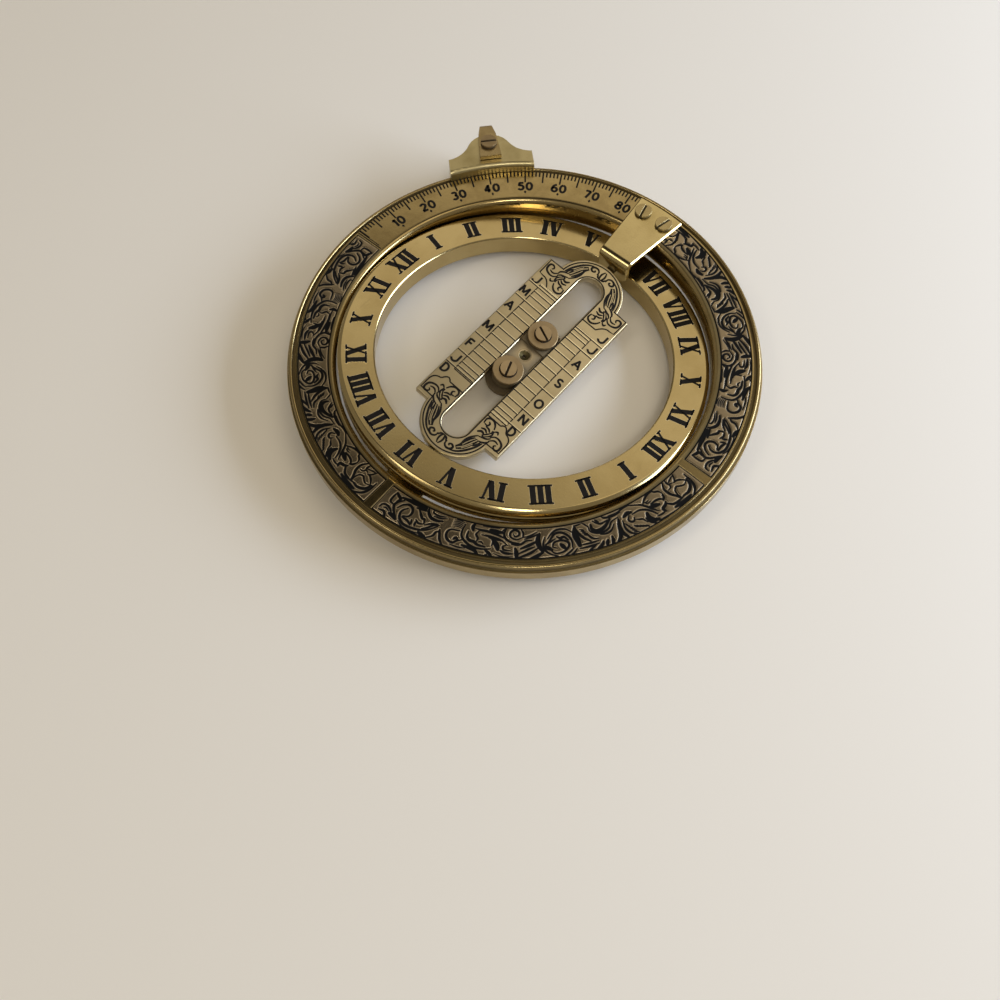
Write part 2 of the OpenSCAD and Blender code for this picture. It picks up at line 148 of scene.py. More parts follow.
def wear_group():
    """Wear of old brass on Object coordinates, as masks: Stain is soft cloudy tarnish, Hairline is fine
    straight scratches from stretched noise, and Grain is a small height for the bump."""
    group, given, result = new_group(
        "brass_wear", {"Cloud Size": "Float", "Scratch Size": "Float"},
        {"Stain": "Float", "Hairline": "Float", "Grain": "Float"})
    place = add(group, "TexCoord", {}).outputs["Object"]
    along = add(group, "Mapping", {"Vector": place, "Rotation": (0.0, 0.0, 0.7), "Scale": (1.0, 0.06, 1.0)})
    cloud = add(group, "TexNoise", {
        "Vector": place, "Scale": given["Cloud Size"], "Detail": 5, "Roughness": 0.62})
    scratch = add(group, "TexNoise", {
        "Vector": along.outputs["Vector"], "Scale": given["Scratch Size"], "Detail": 3})
    fine = add(group, "TexNoise", {"Vector": place, "Scale": given["Scratch Size"], "Detail": 4})
    stain = add(group, "MapRange", {"Value": cloud.outputs["Fac"], "From Min": 0.42, "From Max": 0.72})
    hair = add(group, "MapRange", {"Value": scratch.outputs["Fac"], "From Min": 0.60, "From Max": 0.74})
    fill(group, result, {
        "Stain": stain.outputs["Result"], "Hairline": hair.outputs["Result"], "Grain": fine.outputs["Fac"]})
    return group


def grime_group():
    """Dark filling and painted shade: an attribute of the mesh blends the metal's colour and roughness into
    those of the dark colour, which is black filling in engravings and painted shade elsewhere; what is dark
    isn't metallic."""
    group, given, result = new_group(
        "fill_and_shade", {"Metal Color": "Color", "Metal Roughness": "Float", "Fill And Shade Color": "Color",
                  "Fill And Shade Roughness": "Float"},
        {"Color": "Color", "Roughness": "Float", "Metallic": "Float"})
    ink_and_shade = add(group, "Attribute", {}, attribute_name="ink_and_shade").outputs["Fac"]
    color = add(group, "Mix", {
        "Factor": ink_and_shade, "A": given["Metal Color"], "B": given["Fill And Shade Color"]}, data_type="RGBA")
    rough = add(group, "Mix", {
        "Factor": ink_and_shade, "A": given["Metal Roughness"], "B": given["Fill And Shade Roughness"]}, data_type="FLOAT")
    metal = add(group, "Math", {0: 1.0, 1: ink_and_shade}, operation="SUBTRACT")
    fill(group, result, {"Color": color.outputs["Result"], "Roughness": rough.outputs["Result"],
                         "Metallic": metal.outputs["Value"]})
    return group


SCRATCH_SIZE, SCUFF, GRAIN_DEEP, STAIN_ROUGHER, INK_CLOUDS, INK_GLOSS = 2600.0, 0.08, 0.0002, 0.1, 220.0, 0.1
BRASS_WEAR, FILL_AND_SHADE = wear_group(), grime_group()


def brass(name, clean, stained, rough_clean, rough_stained, clouds=90.0, bump=0.02):
    """Metal whose colour and roughness go from clean to stained with the cloudy tarnish, with rougher
    hairlines and a slight bump from the grain."""
    made, tree, shader = material(name)
    wear = add(tree, "Group", {"Cloud Size": clouds, "Scratch Size": SCRATCH_SIZE}, node_tree=BRASS_WEAR)
    stain = wear.outputs["Stain"]
    tone = add(tree, "Mix", {"A": (*clean, 1), "B": (*stained, 1), "Factor": stain}, data_type="RGBA")
    rough = add(tree, "MapRange", {"Value": stain, "To Min": rough_clean, "To Max": rough_stained})
    scuff = add(tree, "Math", {0: wear.outputs["Hairline"], 1: SCUFF, 2: rough.outputs["Result"]},
                operation="MULTIPLY_ADD")
    dent = add(tree, "Bump", {"Strength": bump, "Distance": GRAIN_DEEP, "Height": wear.outputs["Grain"]})
    fill(tree, shader, {"Base Color": tone.outputs["Result"], "Roughness": scuff.outputs["Value"],
                        "Normal": dent.outputs["Normal"], "Metallic": 1.0})
    return made


def inked(name, clean, stained, fill_and_shade_color, rough_clean, rough_fill_and_shade):
    """Worn brass, dark where the mesh's attribute asks: black filling in engraved lines, and painted shade
    elsewhere.
    """
    made = brass(name, clean, stained, rough_clean, rough_clean + STAIN_ROUGHER, INK_CLOUDS)
    tree, shader = made.node_tree, made.node_tree.nodes["Principled BSDF"]
    color, rough = (shader.inputs[socket].links[0].from_socket for socket in ("Base Color", "Roughness"))
    fill_and_shade = add(tree, "Group", {
        "Metal Color": color, "Metal Roughness": rough,
        "Fill And Shade Color": (*fill_and_shade_color, 1), "Fill And Shade Roughness": rough_fill_and_shade}, node_tree=FILL_AND_SHADE)
    fill(tree, shader, {"Base Color": fill_and_shade.outputs["Color"], "Roughness": fill_and_shade.outputs["Roughness"],
                        "Metallic": fill_and_shade.outputs["Metallic"], "Specular IOR Level": INK_GLOSS})
    return made


# The brass turns nearly black where the ring asks for it: painted shade in the groove, in the corners at the
# bead and the rail, on the bead's flanks, on the sunk panel floors and along the margin beside the panels.
polished_brass = inked(
    "polished_brass", (0.44, 0.34, 0.16), (0.34, 0.25, 0.11), (0.02, 0.015, 0.008), 0.16, 0.5)
bore_round = arc(BORE_R + BORE_ROUND, FACE_Z - BORE_ROUND, BORE_ROUND, 180, 90, 10)
bead_round = arc(BEAD_MID, FACE_Z - BEAD_R, BEAD_R, 180, 0, len(BEAD_SHADE))
# Each point of the half section has its radius, its height and its painted shade: dark in the groove, in the
# corners at the bead and the rail, and on the bead's flanks.
ring_half = np.concatenate([
    [(BORE_R, 0, 0)], np.column_stack([bore_round, np.zeros(len(bore_round))]),
    [(PANEL_IN - PANEL_WALL, FACE_Z, 0), (PANEL_IN, FACE_Z, 0)],
    [(PANEL_OUT, FACE_Z, 0), (PANEL_OUT + PANEL_WALL, FACE_Z, 0)],
    [(GROOVE_IN - GROOVE_EDGE, FACE_Z, 0), (GROOVE_IN, FACE_Z - GROOVE_EDGE, 0.2)],
    [(GROOVE_IN, GROOVE_FLOOR, 0.6), (GROOVE_OUT, GROOVE_FLOOR, 0.6)],
    np.column_stack([bead_round, BEAD_SHADE]),
    [(BEAD_OUT, RAIL_Z + RAIL_STEP, 0.8), (BEAD_OUT + RAIL_STEP, RAIL_Z, 0.4)],
    [(RING_R - RAIL_EDGE, RAIL_Z, 0), (RING_R, RAIL_Z - RAIL_EDGE, 0)]])
ring_section = np.concatenate([ring_half, (ring_half * [1, -1, 1])[:0:-1]])
PANEL_FLOOR, PANEL_LIP = slice(12, 14), slice(8, 12)
ring_steps = np.arange(0, 360, 0.5)
sunk = np.zeros(ring_steps.size)
for start, end in PANELS:
    sunk[(ring_steps > start) & (ring_steps < end)] = PANEL_DEPTH
ring_sections = np.repeat(ring_section[None], ring_steps.size, 0)
ring_sections[:, PANEL_FLOOR, 1] -= sunk[:, None]
ring_quads = grid_quads(ring_steps.size, len(ring_section), True, True)
meridian = piece("meridian_ring_turned", turned(ring_sections, ring_steps), ring_quads, polished_brass,
                 "meridian")
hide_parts("meridian_ring")
# Painted shade: the floor of each sunk panel is dark, and the margin darkens step by step towards the panel.
ring_shade = ring_sections[..., 2]
ring_shade[sunk > 0, PANEL_FLOOR] = 1.0
ring_shade[sunk > 0, PANEL_LIP] = 0.2, 0.35, 0.5, 0.7
set_ink(meridian, ring_shade)

# Engraved panels: running leaf scrolls cut into three quadrants of the meridian ring. The metal is left
# standing and worn bright, and the cut lines between and within the leaves are filled black. One design
# serves all three, and the first panel stops short at the upper pole bracket.
PANEL_R, PANEL_SWEEP = 35.5, 87.8
PANEL_LEN = math.radians(PANEL_SWEEP) * PANEL_R
PANEL_TALL = PANEL_OUT - PANEL_IN
RELIEF_COLS, RELIEF_ROWS, RELIEF_LOW, RELIEF_RISE = 1010, 98, 0.1, 0.1
FRAME_LINE, CUT_WIDER, CUT_SOFT = 0.26, 1.52, 0.06


def bezier(a, b, c, count):
    """Points of a quadratic curve from a to c, pulled towards b: (1-t)^2 a + 2t(1-t) b + t^2 c."""
    t = np.linspace(0, 1, count)[:, None]
    a, b, c = np.array((a, b, c), float)
    return (1 - t) ** 2 * a + 2 * t * (1 - t) * b + t ** 2 * c


def flow(points, count=12):
    """A smooth curve through a few set points (Catmull-Rom): each piece between two points is
    ((2q1) + (q2-q0)t + (2q0-5q1+4q2-q3)t^2 + (3q1-q0-3q2+q3)t^3) / 2."""
    p = np.array(points, float)
    q = np.concatenate([[2 * p[0] - p[1]], p, [2 * p[-1] - p[-2]]])[:, None]
    t = np.linspace(0, 1, count)[None, :, None]
    q0, q1, q2, q3 = q[:-3], q[1:-2], q[2:-1], q[3:]
    bend, twist = 2 * q0 - 5 * q1 + 4 * q2 - q3, 3 * q1 - q0 - 3 * q2 + q3
    return ((2 * q1 + (q2 - q0) * t + bend * t ** 2 + twist * t ** 3) / 2).reshape(-1, 2)


def cut(ink_and_shade, path, width):
    """Cuts one stroke of the graver into a panel: ink where the distance to the path is below half the width.
    The stroke is thinner at both ends, width * (0.6 + 0.4 sin(pi t))."""
    half = CUT_WIDER * width / 2 * (0.6 + 0.4 * np.sin(math.pi * np.linspace(0, 1, len(path))))
    low, high = path.min(0) - width, path.max(0) + width
    within_x = (relief_x > low[0]) & (relief_x < high[0])
    within_y = (relief_y > low[1]) & (relief_y < high[1])
    near = np.nonzero(within_x & within_y)
    far = np.sqrt((relief_x[near][:, None] - path[:, 0]) ** 2 + (relief_y[near][:, None] - path[:, 1]) ** 2)
    ink_and_shade[near] = np.maximum(ink_and_shade[near], np.clip(0.5 - (far - half).min(1) / CUT_SOFT, 0, 1))


CRESCENT_AND_BUD = (
    (0.34, (0.85, 1.6), (0.95, 3.2), (1.5, 4.4), (2.7, 5.2)),
    (0.4, (1.2, 2.4), (1.6, 3.5), (2.6, 4.1), (3.7, 4.05)),
    (0.32, (3.6, 4.1), (4.7, 4.2), (5.7, 4.1), (6.3, 3.6), (6.7, 3.1)),
    (0.5, (2.8, 4.75), (4.3, 4.8), (5.9, 4.65)),
    (0.26, (1.3, 2.45), (2.2, 2.8), (2.9, 2.5), (3.4, 2.2), (4.0, 2.5), (4.2, 3.2), (4.1, 4.0)),
    (0.28, (1.5, 2.4), (1.9, 1.9), (2.5, 1.5), (3.2, 1.4)), (0.26, (3.1, 1.5), (2.6, 1.0), (2.2, 0.3)),
    (0.24, (2.3, 0.4), (3.2, 0.6), (3.9, 0.9)),
    (0.36, (4.3, 3.9), (4.6, 3.2), (5.1, 2.3), (5.2, 1.2), (4.7, 0.3)),
    (0.24, (3.4, 1.3), (3.9, 1.2), (4.2, 1.7), (4.8, 1.8)), (0.3, (4.1, 1.1), (4.15, 0.7), (4.1, 0.3)))
TULIP_AND_GREAT_LEAF = (
    (0.24, (5.6, 5.15), (7.4, 5.1), (9.2, 4.9)), (0.4, (7.4, 4.3), (7.6, 3.7), (6.9, 3.4), (6.5, 3.0)),
    (0.26, (7.5, 4.2), (8.2, 4.3), (9.0, 4.2)), (0.34, (6.6, 2.6), (6.2, 2.2), (6.0, 1.5)),
    (0.3, (6.5, 2.5), (6.9, 2.1), (7.7, 1.9), (8.7, 1.95)),
    (0.28, (6.0, 1.4), (6.3, 0.9), (6.9, 0.6), (7.1, 0.3)),
    (0.3, (7.0, 0.3), (8.0, 0.3), (9.0, 0.7), (9.8, 1.3)), (0.55, (7.6, 2.75), (8.3, 2.5), (9.0, 2.3)),
    (0.3, (8.3, 3.6), (8.9, 2.8), (9.5, 1.9), (10.3, 1.1), (11.9, 0.35)),
    (0.2, (8.3, 1.5), (8.9, 1.6), (9.3, 1.5)),
    (0.3, (8.8, 3.9), (9.2, 3.1), (9.9, 2.3), (10.9, 1.85), (12.2, 1.9)),
    (0.2, (8.6, 1.2), (9.1, 1.3), (9.5, 1.2)), (0.6, (9.1, 4.7), (9.8, 4.4), (10.2, 3.7), (10.1, 2.9)),
    (0.3, (9.7, 5.1), (10.4, 4.4), (10.7, 3.5)), (0.26, (10.8, 4.2), (11.2, 3.4), (11.6, 3.2), (12.1, 2.9)),
    (0.3, (13.0, 5.2), (13.9, 4.5), (14.3, 3.4), (14.1, 2.2)),
    (0.3, (12.2, 2.5), (12.5, 3.0), (13.0, 2.9), (13.2, 2.4), (12.8, 1.9)),
    (0.5, (12.2, 1.5), (12.9, 1.4), (13.7, 1.7)),
    (0.24, (11.9, 0.3), (13.0, 0.3), (14.3, 0.55), (15.9, 0.5)))
FLAMES_AND_HOOK = (
    (0.5, (14.5, 5.0), (15.0, 3.9), (15.0, 2.8), (14.6, 1.7)),
    (0.46, (15.3, 3.4), (15.5, 4.4), (16.3, 5.2)), (0.42, (16.7, 3.9), (16.8, 4.6), (17.1, 5.2)),
    (0.42, (17.5, 4.2), (17.9, 5.0)), (0.4, (18.2, 4.2), (18.6, 4.7), (19.5, 5.2)),
    (0.28, (15.6, 2.1), (16.4, 2.9), (17.3, 3.15), (18.2, 3.0)),
    (0.3, (18.9, 4.3), (20.4, 4.4), (21.9, 4.4)), (0.28, (18.8, 3.85), (20.2, 3.9), (21.8, 3.85)),
    (0.28, (19.5, 4.5), (20.3, 4.9), (20.8, 5.2)),
    (0.28, (14.5, 1.3), (15.8, 1.6), (16.6, 2.4), (17.6, 2.75), (18.7, 2.6), (19.6, 2.0), (19.7, 1.1)),
    (0.5, (15.9, 1.1), (17.0, 1.9), (17.8, 2.25), (18.7, 2.25), (19.2, 1.7), (19.2, 1.0)),
    (0.3, (16.3, 1.1), (17.4, 1.3), (18.0, 1.1), (18.7, 0.5)), (0.26, (17.8, 0.9), (18.3, 0.4)),
    (0.3, (13.9, 0.7), (15.2, 0.8), (16.6, 0.6), (17.0, 0.3)),
    (0.36, (20.0, 3.6), (20.8, 2.9), (21.4, 2.0), (21.9, 0.7)),
    (0.24, (19.7, 1.2), (20.1, 0.7), (20.5, 0.35)), (0.24, (20.7, 0.4), (21.4, 0.5), (22.0, 0.5)),
    (0.7, (21.8, 3.9), (21.9, 2.9), (22.1, 1.9), (21.9, 0.9)),
    (0.3, (18.7, 3.5), (19.5, 3.3), (20.0, 2.7), (20.2, 2.2)))
WHEEL = (
    (0.26, (22.3, 4.3), (22.8, 4.8), (23.5, 5.2)), (0.26, (22.8, 4.1), (23.4, 4.6), (24.3, 5.1)),
    (0.28, (25.3, 5.0), (26.4, 4.5), (27.1, 3.7), (27.2, 2.6), (26.9, 1.7)),
    (0.3, (26.4, 3.6), (25.6, 4.5), (24.3, 4.4), (23.4, 3.6), (23.5, 2.9), (24.4, 2.5), (25.5, 2.7),
     (25.8, 3.4), (25.2, 3.7)), (0.5, (24.0, 3.9), (24.3, 3.5), (24.6, 3.1)),
    (0.32, (22.9, 3.9), (22.8, 2.9), (23.2, 1.9), (24.2, 1.2), (25.3, 1.3), (26.1, 2.2), (26.9, 3.1)),
    (0.28, (22.4, 1.5), (23.4, 0.75), (24.8, 0.65), (25.8, 1.2), (26.5, 2.0)),
    (0.34, (23.3, 2.6), (23.9, 2.0), (24.5, 2.1), (25.0, 1.8)),
    (0.26, (25.3, 2.1), (26.2, 2.6), (26.9, 2.9)), (0.5, (26.0, 3.9), (26.6, 3.5), (27.0, 3.4)))
ACANTHUS_AND_VOLUTE = (
    (0.6, (27.4, 4.0), (27.9, 3.0), (28.0, 2.0), (27.7, 1.1)),
    (0.46, (27.4, 4.2), (28.4, 4.8), (29.4, 5.25)), (0.36, (28.2, 3.5), (29.4, 4.3), (31.0, 5.0)),
    (0.3, (28.6, 3.2), (29.6, 3.6), (31.1, 4.4)), (0.4, (28.2, 2.3), (29.4, 2.9), (30.7, 3.5)),
    (0.3, (29.0, 2.1), (29.9, 2.2), (30.6, 2.7), (31.3, 2.9), (32.1, 2.8)),
    (0.26, (27.7, 1.0), (28.9, 1.5), (30.1, 1.9)), (0.24, (28.0, 0.7), (29.3, 1.35), (30.4, 1.6)),
    (0.3, (30.4, 1.6), (30.3, 0.9), (30.6, 0.3)),
    (0.32, (31.0, 2.6), (32.1, 2.5), (33.0, 2.0), (33.4, 1.2), (33.1, 0.3)),
    (0.3, (30.6, 1.7), (31.4, 2.0), (32.3, 1.6), (32.4, 0.9), (31.8, 0.4), (31.1, 0.6), (31.0, 1.2),
     (31.6, 1.5), (31.9, 1.1)), (0.5, (31.3, 5.0), (31.3, 4.3), (31.5, 3.5)),
    (0.36, (31.9, 4.4), (33.0, 4.35), (33.7, 4.0)), (0.2, (31.9, 4.85), (33.4, 4.95), (34.7, 4.6)),
    (0.28, (32.2, 3.9), (33.2, 3.8), (33.4, 3.3), (32.9, 3.0)),
    (0.6, (34.1, 3.9), (34.4, 3.1), (34.9, 2.5)), (0.3, (33.6, 2.4), (34.6, 2.2), (35.7, 2.1)),
    (0.26, (32.6, 3.1), (33.7, 2.3), (35.0, 1.9), (36.3, 1.7)),
    (0.34, (33.2, 1.9), (34.6, 1.4), (36.0, 1.1), (37.3, 1.15)),
    (0.5, (33.5, 1.0), (34.8, 0.9), (35.7, 0.75)), (0.24, (33.2, 0.3), (33.7, 0.7)),
    (0.2, (34.2, 0.3), (35.6, 0.3), (37.0, 0.3)), (0.4, (34.9, 5.1), (35.4, 4.6), (35.9, 4.3)),
    (0.26, (35.6, 4.9), (36.0, 5.2)))
ROUND_LEAF_AND_CURL = (
    (0.32, (35.2, 3.9), (36.4, 4.15), (37.8, 4.1), (39.0, 3.6), (39.9, 2.8), (40.1, 1.8), (39.9, 0.7)),
    (0.4, (36.1, 3.7), (37.2, 3.6), (37.9, 3.2), (38.6, 3.1), (39.1, 2.6), (39.1, 1.7)),
    (0.24, (36.4, 3.3), (36.8, 3.0), (37.2, 3.1)),
    (0.3, (37.5, 3.0), (37.4, 2.5), (37.8, 1.9), (37.5, 1.3)),
    (0.3, (35.1, 3.4), (35.0, 2.5), (35.6, 1.95), (36.9, 1.8)),
    (0.46, (38.4, 1.4), (38.6, 0.8), (38.4, 0.3)), (0.24, (36.1, 0.9), (37.4, 1.0), (38.3, 0.9)),
    (0.46, (36.9, 5.2), (37.5, 4.6), (38.4, 4.35), (39.5, 4.2)),
    (0.24, (39.0, 4.6), (40.0, 4.7), (41.3, 4.6)),
    (0.34, (39.8, 3.4), (40.4, 3.7), (41.0, 4.2), (41.9, 3.9), (42.3, 3.0), (41.9, 2.2), (40.5, 2.0)),
    (0.4, (40.4, 3.5), (40.7, 3.3), (41.0, 3.6)),
    (0.34, (42.2, 5.2), (42.9, 4.4), (43.3, 3.4), (43.5, 2.8)))
FAN_AND_WHORL = (
    (0.3, (43.4, 3.0), (43.9, 3.5), (44.1, 4.2), (44.9, 4.9)), (0.5, (45.0, 5.1), (45.6, 4.8), (46.3, 4.6)),
    (0.24, (46.0, 4.75), (47.4, 5.0), (48.8, 5.0), (49.9, 4.5)),
    (0.34, (44.0, 2.5), (45.2, 3.6), (46.4, 4.2), (47.8, 4.5), (49.0, 4.5), (49.9, 4.0), (50.3, 3.2),
     (50.2, 2.5), (49.7, 1.9)), (0.28, (43.8, 2.2), (44.7, 2.6), (45.4, 3.3), (46.1, 3.8)),
    (0.28, (44.1, 2.1), (45.2, 2.5), (46.0, 3.1)),
    (0.36, (46.2, 2.9), (46.4, 2.3), (46.9, 2.2), (47.4, 1.7), (47.9, 1.2)),
    (0.3, (46.3, 3.1), (47.0, 3.25), (47.6, 2.9)), (0.3, (47.3, 4.0), (47.5, 3.3)),
    (0.26, (47.9, 3.9), (48.2, 3.2)), (0.34, (48.0, 4.1), (48.7, 3.7), (49.7, 3.6)),
    (0.34, (49.7, 3.4), (48.9, 3.0), (48.7, 2.2), (49.1, 1.5), (49.9, 1.3), (50.7, 1.8), (51.2, 2.7)),
    (0.34, (50.6, 4.1), (51.4, 3.4), (51.9, 2.6), (51.7, 1.9), (51.0, 1.1)),
    (0.42, (43.6, 1.4), (44.6, 1.65), (45.6, 1.55), (46.3, 1.0), (46.6, 0.4)),
    (0.24, (43.0, 0.7), (44.2, 1.05), (45.3, 1.1)),
    (0.26, (43.4, 0.5), (44.6, 0.75), (45.6, 0.6), (45.7, 0.2)),
    (0.36, (46.7, 0.8), (47.6, 0.9), (48.5, 1.1)),
    (0.5, (47.0, 0.45), (48.6, 0.55), (50.0, 0.6), (51.5, 0.8)),
    (0.55, (50.4, 4.5), (51.0, 4.2), (51.7, 4.2)),
    (0.34, (51.9, 5.2), (52.2, 4.7), (52.6, 4.4), (53.4, 4.6)),
    (0.3, (51.5, 4.0), (51.9, 3.6), (52.6, 3.3), (53.4, 3.5), (53.6, 4.2)),
    (0.24, (52.0, 3.95), (52.6, 3.75), (53.0, 3.9)),
    (0.3, (52.0, 2.6), (52.8, 2.4), (52.9, 1.4), (52.8, 0.6)),
    (0.4, (51.9, 1.9), (51.7, 1.2), (52.3, 0.9), (52.8, 0.6)))
RIBS = [(0.24, (10.95 + 0.4 * k, 4.95 - 0.2 * k), (11.3 + 0.4 * k, 4.5 - 0.22 * k)) for k in range(5)]
RIBS += [(0.2, (12.7 + 0.2 * k, 4.9 - 0.35 * k), (13.4 + 0.13 * k, 4.6 - 0.37 * k)) for k in range(6)]
RIBS += [(0.22, (20.0 + 0.16 * k, 2.6 - 0.34 * k), (20.7 + 0.16 * k, 2.3 - 0.34 * k)) for k in range(4)]
RIBS += [(0.16, (40.1, 1.6 - 0.28 * k), (41.0, 1.4 - 0.28 * k), (41.9, 1.6 - 0.28 * k)) for k in range(5)]


def blurred(values, reach):
    """Mean of each place's neighbours within reach steps, along both directions in turn."""
    for axis in (0, 1):
        grown = np.pad(values, [(reach, reach) if k == axis else (0, 0) for k in (0, 1)], mode="edge")
        shifted = [np.take(grown, range(k, k + values.shape[axis]), axis) for k in range(2 * reach + 1)]
        values = sum(shifted) / len(shifted)
    return values


relief_x, relief_y = np.meshgrid(
    np.linspace(0, PANEL_LEN, RELIEF_COLS), np.linspace(0, PANEL_TALL, RELIEF_ROWS))
relief_ink = np.zeros(relief_x.shape)
for group in (CRESCENT_AND_BUD, TULIP_AND_GREAT_LEAF, FLAMES_AND_HOOK, WHEEL, ACANTHUS_AND_VOLUTE,
              ROUND_LEAF_AND_CURL, FAN_AND_WHORL, RIBS):
    for width, *points in group:
        cut(relief_ink, flow(points), width)
rim = np.minimum(np.minimum(relief_x, PANEL_LEN - relief_x), np.minimum(relief_y, PANEL_TALL - relief_y))
relief_ink[rim < FRAME_LINE] = 1.0
relief_cut = 0.7 * blurred(relief_ink, 1) + 0.3 * blurred(relief_ink, 4)
relief_height = RELIEF_LOW + RELIEF_RISE * (1 - relief_cut)
relief_height[rim == 0] = 0.0
relief_bronze = inked(
    "relief_bronze", (0.39, 0.315, 0.21), (0.28, 0.22, 0.14), (0.004, 0.004, 0.004), 0.26, 0.6)
for number, (start, end) in enumerate(PANELS):
    full_end = start + PANEL_SWEEP
    shown = relief_x[0] >= math.radians(full_end - end) * PANEL_R
    spin = math.radians(full_end) - relief_x[:, shown] / PANEL_R
    r = PANEL_IN + relief_y[:, shown]
    z = FACE_Z - PANEL_DEPTH + relief_height[:, shown]
    points = np.stack([r * np.cos(spin), r * np.sin(spin), z], -1).reshape(-1, 3)
    panel = piece(f"scroll_panel_{number + 1}", points, grid_quads(RELIEF_ROWS, shown.sum())[:, ::-1],
                  relief_bronze, "meridian", crease=60.0)
    set_ink(panel, relief_ink[:, shown])

# Latitude scale: degree lines, figures and small diamonds cut into the plain quadrant of the meridian ring
# and filled with black wax. The bead beside it is milled with fine lines.
INLAY_RISE, INLAY_DEEP = 0.012, 0.04
black_wax, wax_tree, wax_shader = material("black_wax")
wax_place = add(wax_tree, "TexCoord", {}).outputs["Object"]
wax_cloud = add(wax_tree, "TexNoise", {"Scale": 1400.0, "Vector": wax_place}).outputs["Fac"]
wax_tone = add(wax_tree, "Mix", {
    "A": (0.003, 0.003, 0.003, 1), "B": (0.014, 0.011, 0.009, 1), "Factor": wax_cloud}, data_type="RGBA")
fill(wax_tree, wax_shader, {
    "Base Color": wax_tone.outputs["Result"], "Roughness": 0.5, "Specular IOR Level": 0.15})


def inlay(name, shapes, lift, finish, body):
    """Flat figures let into a surface. Each shape is a pair: an (n, 2) array of points and a list of faces;
    lift turns all points into places on the surface, and a thin solid is made of the sheet."""
    points = lift(np.concatenate([s[0] for s in shapes]))
    faces, first = [], 0
    for flat, loops in shapes:
        faces += [[first + k for k in loop] for loop in loops]
        first += len(flat)
    made = put(name, mesh_of(name, points, faces), finish, body)
    sheet = made.modifiers.new("thickness", "SOLIDIFY")
    sheet.thickness, sheet.offset = INLAY_DEEP * MM, -1.0


def ribbon(path, width):
    """A strip of the given width (one number or one for each point) along a path, as a shape for inlay:
    each point is moved by half the width to both sides, square to the path."""
    path = np.asarray(path, float)
    ahead = np.gradient(path, axis=0)
    side = np.stack([-ahead[:, 1], ahead[:, 0]], 1) / np.maximum(np.hypot(*ahead.T), 1e-9)[:, None]
    half = np.broadcast_to(np.asarray(width, float) / 2, (len(path),))[:, None]
    n = len(path)
    loops = [(n + k, n + k + 1, k + 1, k) for k in range(n - 1)]
    return np.concatenate([path + side * half, path - side * half]), loops


SIGN_GAP = 0.3


def lettering(text, tall, pen):
    """Plain figures and letters drawn with a pen of even width, centred. Each sign is a few straight strokes
    and arcs in a box one unit tall: bowls are ellipses, and joints are where strokes meet."""

    def bowl(x, y, wide, high, start, end, count=18):
        return arc(0, 0, 1, start, end, count) * [wide, high] + [x, y]

    signs = {
        "0": [bowl(0.3, 0.5, 0.27, 0.45, 90, 450, 30)],
        "1": [[(0.3, 0), (0.3, 1)], [(0.08, 0.74), (0.32, 0.98)]],
        "2": [np.concatenate([bowl(0.3, 0.71, 0.25, 0.25, 165, -35), [(0.08, 0.08)]]),
              [(0.02, 0.06), (0.6, 0.06)]],
        "3": [bowl(0.28, 0.73, 0.22, 0.22, 150, -90), bowl(0.28, 0.28, 0.26, 0.24, 90, -150)],
        "4": [[(0.42, 0), (0.42, 1)], [(0.42, 0.96), (0.04, 0.3)], [(0.0, 0.28), (0.62, 0.28)]],
        "5": [[(0.56, 0.94), (0.12, 0.94)], [(0.15, 0.98), (0.1, 0.52)],
              bowl(0.28, 0.33, 0.28, 0.28, 130, -150)],
        "6": [bowl(0.3, 0.3, 0.26, 0.26, 90, 450, 26), bezier((0.05, 0.36), (0.08, 0.86), (0.48, 0.95), 12)],
        "7": [[(0.02, 0.94), (0.58, 0.94)], [(0.55, 0.94), (0.22, 0)]],
        "8": [bowl(0.3, 0.74, 0.2, 0.21, 90, 450, 24), bowl(0.3, 0.28, 0.26, 0.24, 90, 450, 26)],
        "A": [[(0.02, 0), (0.42, 1)], [(0.38, 1), (0.8, 0)], [(0.16, 0.32), (0.66, 0.32)]],
        "D": [[(0.1, 0), (0.1, 1)],
              np.concatenate([[(0.1, 0.95)], bowl(0.3, 0.5, 0.4, 0.45, 90, -90), [(0.1, 0.05)]])],
        "F": [[(0.1, 0), (0.1, 1)], [(0.1, 0.94), (0.62, 0.94)], [(0.1, 0.52), (0.54, 0.52)]],
        "J": [np.concatenate([[(0.6, 1.0)], bowl(0.24, 0.34, 0.36, 0.34, 0, -160)])],
        "M": [[(0.06, 0), (0.14, 1)], [(0.12, 1), (0.48, 0.12)],
              [(0.48, 0.12), (0.84, 1)], [(0.82, 1), (0.9, 0)]],
        "N": [[(0.08, 0), (0.08, 1)], [(0.08, 0.98), (0.72, 0.02)], [(0.72, 0), (0.72, 1)]],
        "O": [bowl(0.42, 0.5, 0.38, 0.45, 90, 450, 32)],
        "S": [bowl(0.34, 0.73, 0.25, 0.22, 30, 270), bowl(0.34, 0.28, 0.27, 0.23, 90, -150)]}
    strokes, at = [], 0.0
    for sign in text:
        strokes += [np.asarray(s, float) + [at, 0] for s in signs[sign]]
        at = max(s[:, 0].max() for s in strokes) + SIGN_GAP
    every = np.concatenate(strokes)
    middle = (every.min(0) + every.max(0)) / 2
    return [ribbon((s - middle) * tall, pen) for s in strokes]


def on_dial(shape, azimuth, radius):
    """Puts a flat shape on a dial with its top outwards: its right side points clockwise."""
    a = math.radians(azimuth)
    out, clockwise = np.array([math.cos(a), math.sin(a)]), np.array([math.sin(a), -math.cos(a)])
    return out * radius + shape[0][:, 1:2] * out + shape[0][:, 0:1] * clockwise, shape[1]


